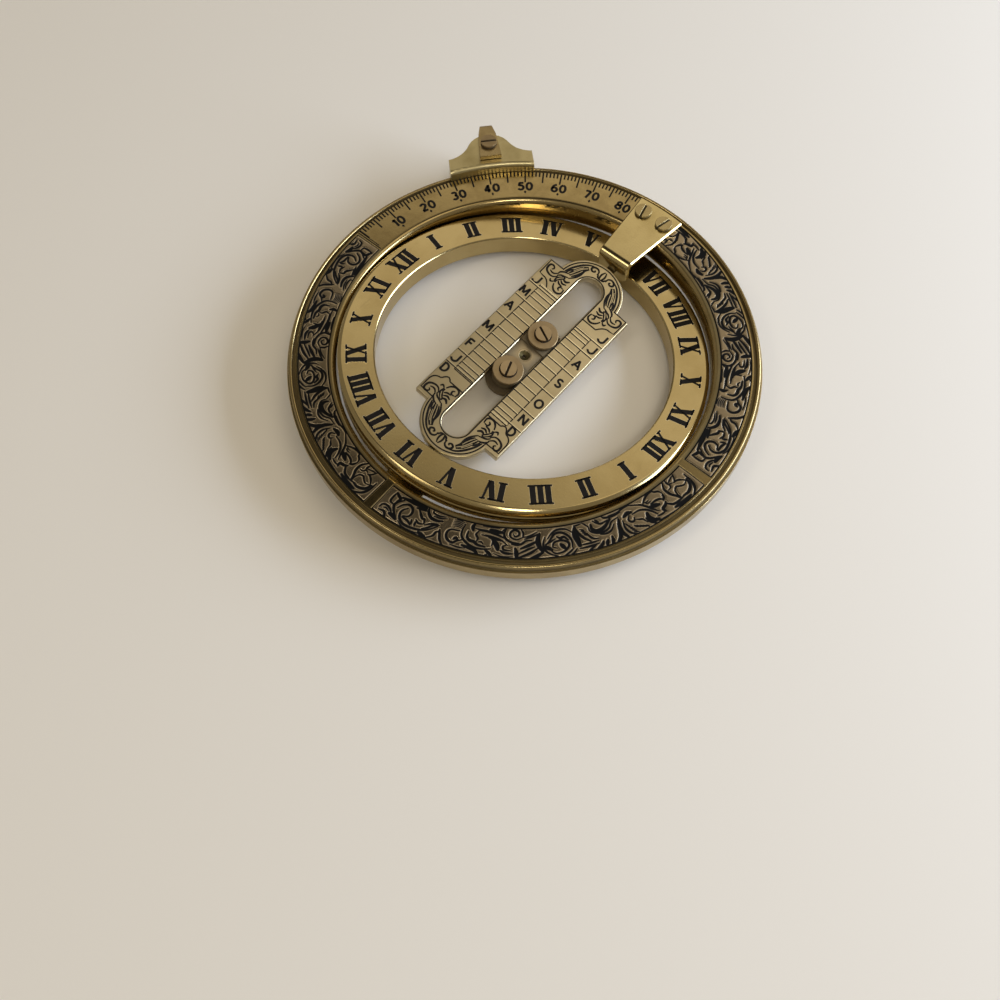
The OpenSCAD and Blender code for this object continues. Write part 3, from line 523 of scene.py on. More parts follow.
def radial_line(azimuth, inner, outer, width):
    """A straight line along a radius of a dial."""
    return on_dial(ribbon([(0, 0), (0, outer - inner)], width), azimuth, inner)


def on_face(flat):
    """Places on the front face of the meridian ring."""
    return np.column_stack([flat, np.full(len(flat), FACE_Z + INLAY_RISE)])


LONG_MARK_IN, SHORT_MARK_IN, MARK_OUT, MARK_W = 36.0, 37.35, GROOVE_IN - 0.04, 0.3
FIGURE_R, FIGURE_TALL, FIGURE_PEN = 35.1, 1.75, 0.46
DIAMOND_R, DIAMOND = 33.75, np.array([(0, 0.36), (-0.24, 0), (0, -0.36), (0.24, 0)])
END_LINE_AT, END_LINE_IN, END_LINE_OUT, END_LINE_W = 180.2, 33.5, GROOVE_IN - 0.1, 0.16
PANEL_LINE_AT, PANEL_LINE_W = 180.75, 0.2
scale_marks = []
for degree in range(0, 84):
    mark_in = LONG_MARK_IN if degree % 5 == 0 else SHORT_MARK_IN
    scale_marks.append(radial_line(180 - degree, mark_in, MARK_OUT, MARK_W))
for degree in range(10, 90, 10):
    figure = lettering(str(degree), FIGURE_TALL, FIGURE_PEN)
    scale_marks += [on_dial(stroke, 180 - degree, FIGURE_R) for stroke in figure]
    scale_marks.append(on_dial((DIAMOND, [(0, 1, 2, 3)]), 180 - degree, DIAMOND_R))
scale_marks.append(radial_line(END_LINE_AT, END_LINE_IN, END_LINE_OUT, END_LINE_W))
scale_marks.append(radial_line(PANEL_LINE_AT, PANEL_IN, END_LINE_OUT, PANEL_LINE_W))
inlay("latitude_scale", scale_marks, on_face, black_wax, "meridian")


def on_bead(flat):
    """Places on the round top of the front bead: the height follows the bead's half circle."""
    r = np.hypot(*flat.T) - BEAD_MID
    up = np.sqrt(np.maximum((BEAD_R + INLAY_RISE) ** 2 - r ** 2, 0))
    return np.column_stack([flat, FACE_Z - BEAD_R + up])


BEAD_LINE_IN, BEAD_LINE_OUT, BEAD_LINE_W = GROOVE_OUT + 0.05, GROOVE_OUT + 0.4, 0.1
bead_marks = [radial_line(a, BEAD_LINE_IN, BEAD_LINE_OUT, BEAD_LINE_W) for a in np.arange(95, 180.1, 0.5)]
inlay("bead_lines", bead_marks, on_bead, black_wax, "meridian")

# Pole brackets: two angles of sheet brass, one on the front and one on the back of the meridian ring. Each
# is held by two slotted screws, and its lip carries a small pointed screw on which the bridge turns.
WELD, FLAT_WITHIN, BREAK_FROM = 1e-6, 1.0, 35
# Painted shade for screws and slider parts: faces square to the axis below the top are darkened, and side
# walls get a weaker painted shade.
SQUARE_ON, EDGE_ON, BELOW_TOP, WALL_SHADE = 0.99, 0.1, 0.02, 0.7
SCREW_EDGE, PIVOT_EDGE = 0.06, 0.05


def softened(node, finish, body, width, clamp=True):
    """A solid of the frame with its edges broken: the same faces, with a narrow round bevel on each edge."""
    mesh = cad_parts[node].data.copy()
    work = bmesh.new()
    work.from_mesh(mesh)
    bmesh.ops.remove_doubles(work, verts=work.verts, dist=WELD)
    bmesh.ops.dissolve_limit(
        work, angle_limit=math.radians(FLAT_WITHIN), verts=work.verts, edges=work.edges)
    work.to_mesh(mesh)
    work.free()
    mesh.polygons.foreach_set("use_smooth", np.ones(len(mesh.polygons), dtype=bool))
    made = put(node + "_finished", mesh, finish, body)
    round_edge = made.modifiers.new("broken_edges", "BEVEL")
    round_edge.width, round_edge.segments = width * MM, 3
    round_edge.limit_method, round_edge.angle_limit = "ANGLE", math.radians(BREAK_FROM)
    round_edge.use_clamp_overlap = clamp
    made.modifiers.new("even_shading", "WEIGHTED_NORMAL")
    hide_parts(node)
    return made


def grimed(made, axis, under=True, walls=False):
    """Painted shade in the slot, and under the head where wanted, of a screw: the shade is 1 at the points of
    each face that lies square to the axis below the top, and fades along the walls between. With walls, the
    faces that run along the axis get a weaker painted shade instead."""
    mesh, axis = made.data, np.array(axis, float)
    counts = len(mesh.vertices), len(mesh.polygons), len(mesh.polygons)
    where, looks, middles = (np.empty((count, 3), np.float32) for count in counts)
    mesh.vertices.foreach_get("co", where.ravel())
    mesh.polygons.foreach_get("normal", looks.ravel())
    mesh.polygons.foreach_get("center", middles.ravel())
    corners, sides = np.empty(len(mesh.loops), np.int32), np.empty(len(mesh.polygons), np.int32)
    mesh.loops.foreach_get("vertex_index", corners)
    mesh.polygons.foreach_get("loop_total", sides)
    facing = np.abs(looks @ axis) if under else looks @ axis
    low = (facing > SQUARE_ON) & (middles @ axis < (where @ axis).max() - BELOW_TOP * MM)
    if walls:
        low = np.abs(looks @ axis) < EDGE_ON
    ink_and_shade = np.zeros(len(mesh.vertices), np.float32)
    ink_and_shade[corners[np.repeat(low, sides)]] = WALL_SHADE if walls else 1.0
    set_ink(made, ink_and_shade)


bracket_brass = brass("bracket_brass", (0.66, 0.54, 0.27), (0.58, 0.46, 0.21), 0.16, 0.26, clouds=140.0)
# The screws' dark colour is painted shade, in their slots and under their heads.
screw_brass = inked("screw_brass", (0.50, 0.40, 0.20), (0.42, 0.32, 0.15), (0.06, 0.045, 0.02), 0.24, 0.5)
PLATE_T, PLATE_TOP, PLATE_END, PLATE_CHAMFER, PLATE_LEAD = 0.75, 3.05, 38.1, 0.22, 0.1
LIP_IN, LIP_OUT, LIP_LOW, BEND_R, LIP_ROUND = 23.95, 24.7, -1.5, 1.3, 1.0
LIP_HALF, RIM_HALF, ACROSS, BEND_STEPS, CORNER_STEPS = 3.15, 4.6, 9, 13, 9


def bracket_surface():
    """Points of a bracket, section by section from the groove to the lip. Each section runs over the outside
    between two chamfers and back along the inside; the path is the plate, a bend of BEND_R and the lip with
    round corners. The half width grows with y from LIP_HALF to RIM_HALF, and the end follows the circle
    x^2 + y^2 = PLATE_END^2."""
    grow = (RIM_HALF - LIP_HALF) / (PLATE_END - LIP_OUT)
    start = LIP_HALF - grow * LIP_OUT
    end_y = (math.sqrt(PLATE_END ** 2 * (1 + grow ** 2) - start ** 2) - grow * start) / (1 + grow ** 2)
    bend = np.radians(np.linspace(0, 90, BEND_STEPS))
    corner = np.radians(np.linspace(0, 90, CORNER_STEPS))
    out_y = np.concatenate([[end_y, LIP_IN + BEND_R + PLATE_LEAD], LIP_IN + BEND_R * (1 - np.sin(bend)),
                            np.full(CORNER_STEPS, LIP_IN)])
    out_z = np.concatenate([[PLATE_TOP] * 2, PLATE_TOP - BEND_R * (1 - np.cos(bend)),
                            LIP_LOW + LIP_ROUND * (1 - np.sin(corner))])
    turn = np.concatenate([[0, 0], bend, np.full(CORNER_STEPS, math.pi / 2)])
    half = LIP_HALF + grow * np.maximum(out_y - LIP_OUT, 0)
    half[-CORNER_STEPS:] -= LIP_ROUND * (1 - np.cos(corner))
    half = half[:, None]
    over = np.linspace(-1, 1, ACROSS)
    x = np.concatenate([(half - PLATE_CHAMFER) * over, half, half * over[::-1], -half], 1)
    deep = np.concatenate([np.zeros(ACROSS), [PLATE_CHAMFER], np.full(ACROSS, PLATE_T), [PLATE_CHAMFER]])
    y = out_y[:, None] + deep * np.sin(turn)[:, None]
    z = out_z[:, None] - deep * np.cos(turn)[:, None]
    y[0] = np.sqrt(PLATE_END ** 2 - x[0] ** 2)
    return np.stack([x, y, z], -1)


bracket_points = bracket_surface()
bracket_rows, bracket_cols = bracket_points.shape[:2]
k = np.arange(ACROSS)
bracket_end = np.stack([k, k + 1, bracket_cols - 2 - k, bracket_cols - 1 - k], 1)
bracket_quads = np.concatenate([
    grid_quads(bracket_rows, bracket_cols, close_cols=True), bracket_end,
    bracket_end[:, ::-1] + (bracket_rows - 1) * bracket_cols])
for pole, front in (("upper", 1), ("lower", -1)):
    made = piece(f"{pole}_bracket_sheet", bracket_points.reshape(-1, 3) * [1, front, front], bracket_quads,
                 bracket_brass, "meridian")
    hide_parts(f"{pole}_pole_bracket")
    for side in ("left", "right"):
        screw = softened(f"{pole}_bracket_screw_{side}", screw_brass, "meridian", SCREW_EDGE)
        # Painted shade in the screw's slot and under its head.
        grimed(screw, (0, 0, front))
    pivot = softened(f"{pole}_bridge_pivot", screw_brass, "meridian", PIVOT_EDGE)
    # Painted shade in the slot and at the steps of the pivot.
    grimed(pivot, (0, front, 0))

# Pivot screws: two headless brass screws in the noon axis of the meridian ring, slotted at the rim. Their
# plain ends reach through the bore and carry the hour ring.
for hour, out in (("noon", -1), ("midnight", 1)):
    pivot = softened(f"{hour}_pivot_screw", screw_brass, "meridian", PIVOT_EDGE)
    # Painted shade in the slot and at the steps of each pivot screw.
    grimed(pivot, (out, 0, 0))

# Hour ring: a thick ring of polished brass with a fine line turned around its outside. The outer edges are
# bevelled, and the edges of the bore are only broken. It lies a few degrees open, so its far side is deeper
# in the meridian ring.
HOUR_R, HOUR_IN, HOUR_HALF, HOUR_TILT = 31.4, 25.2, 1.9, -6.0
BEVEL_W, BEVEL_DEEP, BORE_BEVEL, LINE_HALF, LINE_DEEP = 0.6, 0.4, 0.22, 0.2, 0.2
LEAD, EASE = 0.1, 0.03
hour_half = np.array([
    (HOUR_IN, 0), (HOUR_IN, HOUR_HALF - BORE_BEVEL - LEAD), (HOUR_IN, HOUR_HALF - BORE_BEVEL - EASE),
    (HOUR_IN + EASE, HOUR_HALF - BORE_BEVEL + 0.02), (HOUR_IN + BORE_BEVEL - 0.02, HOUR_HALF - EASE),
    (HOUR_IN + BORE_BEVEL + EASE, HOUR_HALF), (HOUR_IN + BORE_BEVEL + LEAD, HOUR_HALF),
    (HOUR_R - BEVEL_W - LEAD, HOUR_HALF), (HOUR_R - BEVEL_W - EASE, HOUR_HALF),
    (HOUR_R - BEVEL_W + 0.06, HOUR_HALF - EASE),
    (HOUR_R - 0.05, HOUR_HALF - BEVEL_DEEP + 0.02), (HOUR_R, HOUR_HALF - BEVEL_DEEP - 0.04),
    (HOUR_R, LINE_HALF), (HOUR_R - LINE_DEEP, 0)])


def tilted(points):
    """Turns places of the hour ring about the noon axis by the angle at which it lies."""
    c, s = math.cos(math.radians(HOUR_TILT)), math.sin(math.radians(HOUR_TILT))
    x, y, z = np.asarray(points).T
    return np.stack([x, y * c - z * s, y * s + z * c], 1)


hour_section = np.concatenate([hour_half, (hour_half * [1, -1])[-2:0:-1]])
hour_steps = np.arange(0, 360, 0.75)
hour_points = tilted(turned(hour_section, hour_steps))
hour_brass = brass("hour_brass", (0.50, 0.40, 0.20), (0.43, 0.33, 0.15), 0.14, 0.22)
hour_quads = grid_quads(hour_steps.size, len(hour_section), True, True)
hour = piece("hour_ring_turned", hour_points, hour_quads, hour_brass, "hours", crease=20.0)
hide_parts("hour_ring")

# Hour numerals: Roman figures from one to twelve, twice around, cut with serifs and filled black. A thin line
# of pale brass round each figure is a painted highlight on the edges of the cuts.
NUMERAL_R, NUMERAL_TALL, NUMERAL_RISE, EDGE_RISE, EDGE_GROW = 28.25, 3.55, 0.02, 0.01, 0.05
STEM_W, THIN_W, SERIF_W, CROSS_SERIF_W, THIN_SERIF_W, SERIF_TALL = 0.96, 0.4, 1.5, 1.3, 1.0, 0.34
LETTERS = {
    "I": ([(0.65, 0.65, STEM_W)], [(0.65, True, SERIF_W), (0.65, False, SERIF_W)], 1.22),
    "V": ([(1.36, 0.62, STEM_W), (1.5, 2.2, THIN_W)],
          [(0.66, True, SERIF_W), (2.2, True, THIN_SERIF_W)], 2.68),
    "X": ([(2.05, 0.65, STEM_W), (0.6, 2.1, THIN_W)],
          [(0.68, True, CROSS_SERIF_W), (2.1, True, THIN_SERIF_W),
           (2.02, False, CROSS_SERIF_W), (0.6, False, THIN_SERIF_W)], 2.7)}


def numeral(text):
    """Bars and serifs of a Roman figure as four-cornered strokes, centred, with its top at +y. A letter has
    bars (x below, x above, width), serifs (x, whether at the top, width) and its advance."""
    half = NUMERAL_TALL / 2
    strokes, pen = [], 0.0

    def stroke(x_low, x_high, width, low, high):
        strokes.append([(x_low - width / 2, low), (x_low + width / 2, low),
                        (x_high + width / 2, high), (x_high - width / 2, high)])

    for letter in text:
        bars, serifs, advance = LETTERS[letter]
        for below, above, width in bars:
            stroke(pen + below, pen + above, width, -half, half)
        for x, at_top, width in serifs:
            low = half - SERIF_TALL if at_top else -half
            stroke(pen + x, pen + x, width, low, low + SERIF_TALL)
        pen += advance
    flat = np.array(strokes)
    flat[..., 0] -= (flat[..., 0].min() + flat[..., 0].max()) / 2
    return flat


def grown(strokes, by):
    """The same strokes with every corner pushed out by a little, away from the stroke's middle."""
    middle = strokes.mean(1, keepdims=True)
    return strokes + np.sign(strokes - middle) * by


def strokes_shape(strokes):
    """Strokes as one flat shape of separate four-cornered faces, which face up once they are on a dial."""
    return strokes.reshape(-1, 2), [(4 * k, 4 * k + 1, 4 * k + 2, 4 * k + 3) for k in range(len(strokes))]


def on_hours(flat, rise):
    """Places on the front face of the tilted hour ring."""
    return tilted(np.column_stack([flat, np.full(len(flat), HOUR_HALF + rise)]))


ROMAN = ("I", "II", "III", "IV", "V", "VI", "VII", "VIII", "IX", "X", "XI", "XII")
figures, edges = [], []
for place in range(24):
    strokes = numeral(ROMAN[place % 12])
    azimuth = 165 - 15 * place
    figures.append(on_dial(strokes_shape(strokes), azimuth, NUMERAL_R))
    edges.append(on_dial(strokes_shape(grown(strokes, EDGE_GROW)), azimuth, NUMERAL_R))
# A pale brass for painted highlights beside engraved lines.
painted_highlight_brass = brass("painted_highlight_brass", (0.86, 0.76, 0.52), (0.74, 0.62, 0.38), 0.2, 0.28)
inlay("numerals", figures, lambda f: on_hours(f, NUMERAL_RISE), black_wax, "hours")
# Painted highlight: a slightly larger pale copy of each figure lies under the black one.
inlay("numeral_edge_highlights", edges, lambda f: on_hours(f, EDGE_RISE), painted_highlight_brass, "hours")

# Bridge bar: a slotted plate of paler, silvered brass on the polar axis, a little turned. Its edges are
# broken and its face carries the date scales and the end ornaments.
BAR_TURN, BAR_HALF, BAR_EDGE = 11.0, 0.75, 0.22
silvered_brass = brass(
    "silvered_brass", (0.52, 0.44, 0.28), (0.44, 0.36, 0.21), 0.28, 0.36, clouds=160.0, bump=0.008)
softened("bridge_bar", silvered_brass, "bridge", BAR_EDGE, clamp=False)


def bar_turned(points):
    """Turns places of the flat bar about the polar axis by the angle at which it lies."""
    c, s = math.cos(math.radians(BAR_TURN)), math.sin(math.radians(BAR_TURN))
    x, y, z = np.asarray(points, float).T
    return np.stack([x * c + z * s, y, z * c - x * s], 1)


def on_bar(flat, rise=INLAY_RISE):
    """Places on the front face of the turned bar."""
    return bar_turned(np.column_stack([flat, np.broadcast_to(BAR_HALF + rise, len(flat))]))


# Date scales: one strip each side of the slot, ruled every ten days at the height of the sun's declination,
# with month initials outside. The lines are filled black, and a pale strip beside each ten-day line is a
# painted highlight.
SCALE_HALF, SCALE_IN, SCALE_EDGE, RULE_W, GLINT_OFF, GLINT_W = 11.25, 2.85, 8.85, 0.2, 0.18, 0.15
LEFT_MID, LEFT_OUT, RIGHT_MID, RIGHT_OUT = 0.85, 6.75, -0.75, 6.3
LEFT_MONTH_X, RIGHT_MONTH_X, MONTH_TALL, MONTH_PEN = -8.0, 7.65, 1.7, 0.4
EQUINOX_DAY, YEAR, AFTER_SOLSTICE, HALF_YEAR = 79.5, 365.25, 10, 182
OBLIQUITY = math.radians(23.44)
MONTH_STARTS = (0, 31, 59, 90, 120, 151, 181, 212, 243, 273, 304, 334)


def scale_height(day):
    """Height on the strip for a day of the year: tan(declination) / tan(obliquity), with
    sin(declination) = sin(obliquity) * sin(longitude), and the longitude counted from the spring equinox."""
    longitude = math.radians((day - EQUINOX_DAY) * 360 / YEAR)
    declination = math.asin(math.sin(OBLIQUITY) * math.sin(longitude))
    return SCALE_HALF * math.tan(declination) / math.tan(OBLIQUITY)


def straight(x0, y0, x1, y1):
    """Two ends of a straight line."""
    return np.array([(x0, y0), (x1, y1)], float)


bar_lines, bar_glints = [], []
for side, middle, outer in ((-1, LEFT_MID, LEFT_OUT), (1, RIGHT_MID, RIGHT_OUT)):
    top, bottom = middle + SCALE_HALF, middle - SCALE_HALF
    bar_lines.append(ribbon(straight(side * outer, bottom, side * outer, top), RULE_W))
    for first in MONTH_STARTS:
        rising = (first + AFTER_SOLSTICE) % 365 < HALF_YEAR
        if rising != (side < 0):
            continue
        for day in (first, first + 10, first + 20):
            y = middle + scale_height(day)
            rule = straight(side * SCALE_IN, y, side * (SCALE_EDGE if day == first else outer), y)
            bar_lines.append(ribbon(rule, RULE_W))
            bar_glints.append(ribbon(rule + [0, GLINT_OFF], GLINT_W))
    for y in (top, bottom):
        bar_lines.append(ribbon(straight(side * SCALE_IN, y, side * outer, y), RULE_W))
LEFT_MONTHS = (("J", 12.5), ("M", 9.3), ("A", 5.3), ("M", -0.3), ("F", -5.0), ("J", -8.6), ("D", -11.3))
RIGHT_MONTHS = (("J", 11.85), ("J", 9.0), ("A", 5.0), ("S", 0.1), ("O", -5.2), ("N", -9.2), ("D", -12.2))
for x, months in ((LEFT_MONTH_X, LEFT_MONTHS), (RIGHT_MONTH_X, RIGHT_MONTHS)):
    for letter, y in months:
        initial = lettering(letter, MONTH_TALL, MONTH_PEN)
        bar_lines += [(flat + np.array([x, y]), loops) for flat, loops in initial]

# End ornaments of the bar: a stepped border line and leaf scrolls around both ends of the slot, the same on
# both sides. The graver's strokes are filled black, and the leaves, curls and bud stand pale between them.
SLOT_END, END_CENTER, BORDER_R, BORDER_W = 17.25, 16.8, 5.9, 0.26
SLOT_LINE_R, SLOT_LINE_W, OVERLAY_RISE = 2.78, 0.22, INLAY_RISE + 0.008
EDGE_MID, EDGE_W, EDGE_SLOPE = 2.575, 0.15, math.tan(math.radians(30))
BUD_AND_CURL = (
    (0.3, (0.05, 20.2), (0.34, 20.8), (0.36, 21.5), (0.1, 22.2)),
    (0.3, (0.1, 20.3), (0.6, 20.5), (0.85, 21.0)),
    (0.34, (0.95, 20.7), (1.05, 21.4), (1.6, 21.75), (2.25, 21.55), (2.45, 21.0), (2.0, 20.7),
     (1.6, 20.95), (1.8, 21.2)))
LONG_LEAF = (
    (0.34, (2.2, 21.7), (3.1, 21.25), (3.95, 20.4), (4.65, 19.3), (5.2, 18.2), (5.5, 17.2)),
    (0.8, (2.8, 20.7), (3.45, 19.9), (3.9, 18.95), (4.3, 18.0), (4.6, 17.2)),
    (0.3, (4.6, 18.6), (5.0, 17.9), (5.2, 17.2)),
    (0.5, (3.15, 19.6), (3.35, 18.7), (3.7, 17.9), (4.1, 17.2)),
    (0.3, (2.55, 20.5), (2.95, 19.7), (3.0, 18.7), (3.25, 17.8), (3.75, 17.0), (4.15, 16.5)),
    (0.3, (4.2, 16.6), (4.9, 16.3), (5.5, 16.05), (5.95, 15.55)),
    (0.3, (4.7, 17.25), (5.4, 17.0), (5.95, 16.5), (6.05, 16.0)))
LEAF_VEINS = (
    (0.15, (2.85, 20.55), (3.5, 19.75), (3.95, 18.8), (4.3, 17.9), (4.55, 17.3)),
    (0.12, (3.25, 19.5), (3.5, 18.7), (3.8, 18.0), (4.15, 17.3)),
    (0.12, (3.5, 20.15), (4.05, 19.2), (4.4, 18.3)), (0.14, (4.75, 16.0), (5.2, 15.5), (5.5, 14.9)))
LEAF_CLUSTER = (
    (0.6, (4.5, 16.2), (5.05, 15.6), (5.5, 15.0), (5.45, 14.2)),
    (0.38, (3.4, 16.1), (4.0, 15.6), (4.7, 15.8)), (0.32, (3.5, 15.2), (4.2, 14.95), (4.8, 15.3)),
    (0.3, (3.9, 14.45), (4.6, 14.5), (5.1, 14.9)),
    (0.34, (3.25, 14.2), (3.15, 13.35), (3.6, 12.85), (4.3, 12.8), (4.95, 13.25), (5.35, 14.0)),
    (0.3, (3.4, 14.15), (4.0, 14.2), (4.15, 13.7), (3.8, 13.4)),
    (0.34, (5.7, 15.5), (6.3, 14.85), (7.1, 14.75), (7.95, 15.15), (8.2, 15.9), (8.05, 16.5),
     (7.5, 16.6), (7.15, 16.2), (7.4, 15.85)), (0.28, (5.95, 16.1), (6.5, 15.5), (7.0, 15.4), (7.5, 15.55)),
    (0.3, (5.6, 14.2), (6.1, 13.9), (6.4, 14.3)))


def both_sides(path, width):
    """A ribbon and its mirror image across the middle of the bar."""
    path = np.asarray(path, float)
    mirrored = np.asarray(width)[::-1] if np.ndim(width) else width
    return [ribbon(path, width), ribbon((path * [-1, 1])[::-1], mirrored)]


def on_slot_edge(flat):
    """Places on the narrow chamfer along the slot, which falls away towards it at EDGE_SLOPE."""
    return on_bar(flat, (np.abs(flat[:, 0]) - EDGE_MID - EDGE_W / 2) * EDGE_SLOPE)


bar_veins = []
slot_line = np.concatenate([
    arc(0, SLOT_END, SLOT_LINE_R, 0, 180, 40), arc(0, -SLOT_END, SLOT_LINE_R, 180, 360, 40)])
bar_lines.append(ribbon(np.concatenate([slot_line, slot_line[:2]]), SLOT_LINE_W))
UPPER_STEP = np.concatenate([
    [(2.8, 12.25), (5.6, 12.3)], bezier((5.7, 12.35), (6.6, 13.9), (7.6, 13.75), 8),
    [(8.5, 13.9), (8.6, 17.2), (6.0, 17.3)]])
LOWER_STEP = np.concatenate([
    [(2.8, 12.7), (5.6, 12.7)], bezier((5.7, 12.65), (6.4, 11.7), (7.1, 13.0), 10),
    bezier((7.3, 13.2), (8.5, 13.4), (8.6, 14.6), 8), [(8.6, 16.6), (6.0, 16.7)]])
for end, step in ((1, UPPER_STEP), (-1, LOWER_STEP)):
    border = np.concatenate([step, arc(0, END_CENTER, BORDER_R, 4, 90, 40)]) * [1, end]
    bar_lines += both_sides(border[::end], BORDER_W)
    for width, *points in BUD_AND_CURL + LONG_LEAF + LEAF_CLUSTER:
        path = flow(points, 8)
        swell = width * (0.7 + 0.5 * np.sin(math.pi * np.linspace(0, 1, len(path))))
        bar_lines += both_sides((path * [1, end])[::end], swell)
    for width, *points in LEAF_VEINS:
        bar_veins += both_sides((flow(points, 8) * [1, end])[::end], width)
slot_edges = [ribbon(straight(x, -SLOT_END, x, SLOT_END), EDGE_W) for x in (-EDGE_MID, EDGE_MID)]
inlay("slot_edges", slot_edges, on_slot_edge, silvered_brass, "bridge")
inlay("bar_engraving", bar_lines, on_bar, black_wax, "bridge")
inlay("bar_veins", bar_veins, lambda f: on_bar(f, OVERLAY_RISE), silvered_brass, "bridge")
# Painted highlights: pale strips beside the ten-day lines.
inlay("bar_glints", bar_glints, lambda f: on_bar(f, OVERLAY_RISE), painted_highlight_brass, "bridge")

# Slider: a brass plate in the bar's slot with the pinhole, held by two collars in front and a strip behind.
# Each collar is clamped by a slotted screw. Painted shade darkens the screw slots, the undersides of the
# collars, a ring round the foot of each head, and the sides of the plate and the strip.
# The dark colour of these three brasses is painted shade, put where each mesh asks for it.
dull_brass = inked("dull_brass", (0.37, 0.28, 0.16), (0.29, 0.21, 0.115), (0.03, 0.022, 0.014), 0.36, 0.5)
slider_brass = inked("slider_brass", (0.45, 0.37, 0.24), (0.37, 0.295, 0.18), (0.06, 0.045, 0.025), 0.3, 0.5)
head_brass = inked("head_brass", (0.44, 0.335, 0.195), (0.36, 0.265, 0.15), (0.03, 0.022, 0.014), 0.32, 0.5)
SLIDER_EDGE, STRIP_EDGE, COLLAR_EDGE, HEAD_EDGE = 0.05, 0.08, 0.12, 0.08
bar_normal = bar_turned([(0, 0, 1)])[0]
# Painted shade on the sides of the slider plate and of the back strip.
grimed(softened("slider_plate", slider_brass, "slider", SLIDER_EDGE), bar_normal, walls=True)
back_strip = softened("slider_back_strip", dull_brass, "slider", STRIP_EDGE)
grimed(back_strip, bar_normal, walls=True)
SINK_Z, SINK_R, PINHOLE_R, SINK_DEEP, SINK_SKIN = 0.5, 1.2, 0.3, 0.4, 0.015
sink_steps = np.arange(0, 360, 6)
sink_r = np.linspace(PINHOLE_R, SINK_R, 8)
sink_z = SINK_Z - SINK_DEEP * (SINK_R - sink_r) / (SINK_R - PINHOLE_R) + SINK_SKIN
sink_points = bar_turned(turned(np.column_stack([sink_r, sink_z]), sink_steps))
sink_quads = grid_quads(sink_steps.size, sink_r.size, True)[:, ::-1]
# The countersink's very dark brass is painted shade in the recess.
shaded_sink_brass = brass("shaded_sink_brass", (0.10, 0.08, 0.035), (0.06, 0.05, 0.022), 0.5, 0.6, clouds=500.0)
piece("pinhole_sink", sink_points, sink_quads, shaded_sink_brass, "slider")
for end in ("upper", "lower"):
    # Painted shade under each collar, and in the slot of each screw.
    grimed(softened(f"slider_collar_{end}", dull_brass, "slider", COLLAR_EDGE), bar_normal)
    screw = softened(f"slider_screw_{end}", head_brass, "slider", HEAD_EDGE)
    grimed(screw, bar_normal, under=False)
COLLAR_TOP, SCREW_Y, SEAT_R, SEAT_W = 1.8, 4.55, 1.47, 0.17
SEAT_RISE = COLLAR_TOP - BAR_HALF + INLAY_RISE
# A thin ring of black wax round the foot of each screw head on its collar: a painted shadow.
seat_shadows = [ribbon(arc(0, y, SEAT_R, 0, 360, 49), SEAT_W) for y in (-SCREW_Y, SCREW_Y)]
inlay("screw_seat_shadows", seat_shadows, lambda f: on_bar(f, SEAT_RISE), black_wax, "slider")

# Saddle: two ogee cheeks of brass over a spacer, hooked into the grooves of the meridian ring. It slides
# along the rim to the latitude of the place.
CHEEK_EDGE = 0.24
saddle_brass = brass("saddle_brass", (0.54, 0.46, 0.25), (0.45, 0.37, 0.18), 0.3, 0.42, clouds=200.0)
for node in ("saddle_front_cheek", "saddle_back_cheek", "saddle_spacer"):
    softened(node, saddle_brass, "saddle", CHEEK_EDGE)

# Shackle: a bent strap of brass over the saddle, on one slotted screw, from which the dial hangs. It is
# darker than the saddle, and its edges are well rounded.
STRAP_EDGE = 0.16
strap_bronze = brass("strap_bronze", (0.40, 0.31, 0.16), (0.31, 0.23, 0.11), 0.26, 0.38, clouds=300.0)
softened("shackle_strap", strap_bronze, "shackle", STRAP_EDGE)
# Painted shade in the screw's slot and under its head.
grimed(softened("shackle_screw", dull_brass, "shackle", HEAD_EDGE), (0, 0, 1))

# Floor, light and camera: a pale table in a warm room with a bright far wall and a ceiling that is bright at
# the right and dim above the table. A low wide window stands at the right, and two small lamps hang near the
# camera and high at the left.
floor_normal = Vector((-0.0107, 0.0223, 0.9997)).normalized()
floor_z, floor_reach = -4.46, 900
floor_line = np.linspace(-floor_reach, floor_reach, 3)
floor_x, floor_y = np.meshgrid(floor_line, floor_line)
floor_fall = (floor_normal.x * floor_x + floor_normal.y * floor_y) / floor_normal.z
floor_points = np.stack([floor_x, floor_y, floor_z - floor_fall], -1).reshape(-1, 3)
floor_mesh = mesh_of("table", floor_points, grid_quads(3, 3)[:, ::-1].tolist())
table_paint, table_tree, table_shader = material("table_paint")
fill(table_tree, table_shader, {"Base Color": (0.855, 0.81, 0.735, 1), "Roughness": 0.6})
floor_mesh.materials.append(table_paint)
table = bpy.data.objects.new("table", floor_mesh)
bpy.context.collection.objects.link(table)

world = bpy.data.worlds.new("room")
bpy.context.scene.world = world
world.use_nodes = True
room = world.node_tree
room_way = add(room, "TexCoord", {}).outputs["Generated"]


def room_lobe(middle, start, end, low, high):
    """A smooth level over the directions of the room: low to high while the cosine of the angle to the middle
    goes from start to end."""
    cosine = add(room, "VectorMath", {0: room_way, 1: middle}, operation="DOT_PRODUCT").outputs["Value"]
    level = add(room, "MapRange", {
        "Value": cosine, "From Min": start, "From Max": end, "To Min": low, "To Max": high},
        interpolation_type="SMOOTHSTEP")
    return level.outputs["Result"]


def toward(azimuth, height):
    """Unit vector for an azimuth and a height above the horizon, in degrees."""
    a, h = math.radians(azimuth), math.radians(height)
    return Vector((math.cos(h) * math.cos(a), math.cos(h) * math.sin(a), math.sin(h)))


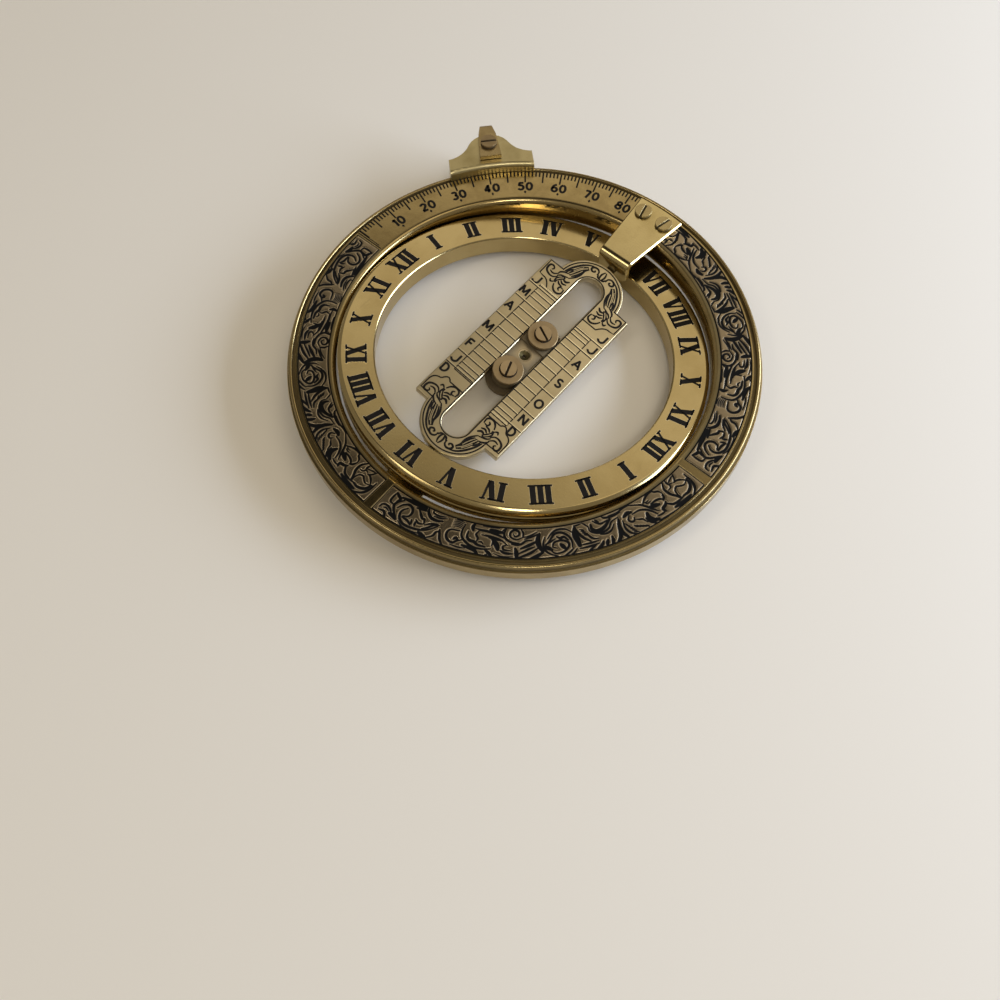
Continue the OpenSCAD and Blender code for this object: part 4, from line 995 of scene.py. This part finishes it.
bright_wall = room_lobe(toward(120, 43), 0.891, 0.978, 0.27, 0.86)
bright_ceiling = room_lobe(toward(60, 66), 0.883, 0.978, 0.0, 0.95)
dim_ceiling = room_lobe(toward(150, 72), 0.88, 0.978, 1.0, 0.07)
room_level = bright_wall
for operation, other in (("ADD", bright_ceiling), ("MULTIPLY", dim_ceiling)):
    room_level = add(room, "Math", {0: room_level, 1: other}, operation=operation).outputs["Value"]
fill(room, room.nodes["Background"], {"Color": (1.0, 0.88, 0.68, 1), "Strength": room_level})

for name, at, wide, tall, energy, tint in (
        ("side_window", toward(46, 20) * 0.5, 0.5, 0.18, 2.85, (0.85, 0.97, 1.19)),
        ("near_lamp", toward(-42, 57) * 0.6, 0.12, 0.12, 0.42, (1.0, 0.95, 0.85)),
        ("ceiling_lamp", toward(240, 55) * 0.8, 0.2, 0.2, 0.45, (1.0, 0.92, 0.78))):
    lamp = bpy.data.lights.new(name, "AREA")
    lamp.shape, lamp.size, lamp.size_y = "RECTANGLE", wide, tall
    lamp.energy, lamp.color = energy, tint
    lamp_stand = bpy.data.objects.new(name, lamp)
    lamp_stand.location = at
    lamp_stand.rotation_euler = (-at).to_track_quat("-Z", "Y").to_euler()
    bpy.context.collection.objects.link(lamp_stand)

camera = bpy.data.cameras.new("camera")
camera.sensor_width = 36.0
camera.lens = 38.866
camera.clip_start = 0.005
eye = bpy.data.objects.new("camera", camera)
bpy.context.collection.objects.link(eye)
pitch, roll = math.radians(64.71), math.radians(-1.0254)
across = Vector((0.746172, 0.665756, 0.0))
ahead = Vector((-across.y * math.cos(pitch), across.x * math.cos(pitch), -math.sin(pitch)))
above = across.cross(ahead)
right = across * math.cos(roll) + above * math.sin(roll)
up = above * math.cos(roll) - across * math.sin(roll)
place = Vector((0.063457, -0.077931, 0.15555))
eye.matrix_world = Matrix(((right.x, up.x, -ahead.x, place.x), (right.y, up.y, -ahead.y, place.y),
                           (right.z, up.z, -ahead.z, place.z), (0, 0, 0, 1)))
bpy.context.scene.camera = eye
bpy.context.scene.view_settings.view_transform = "Standard"
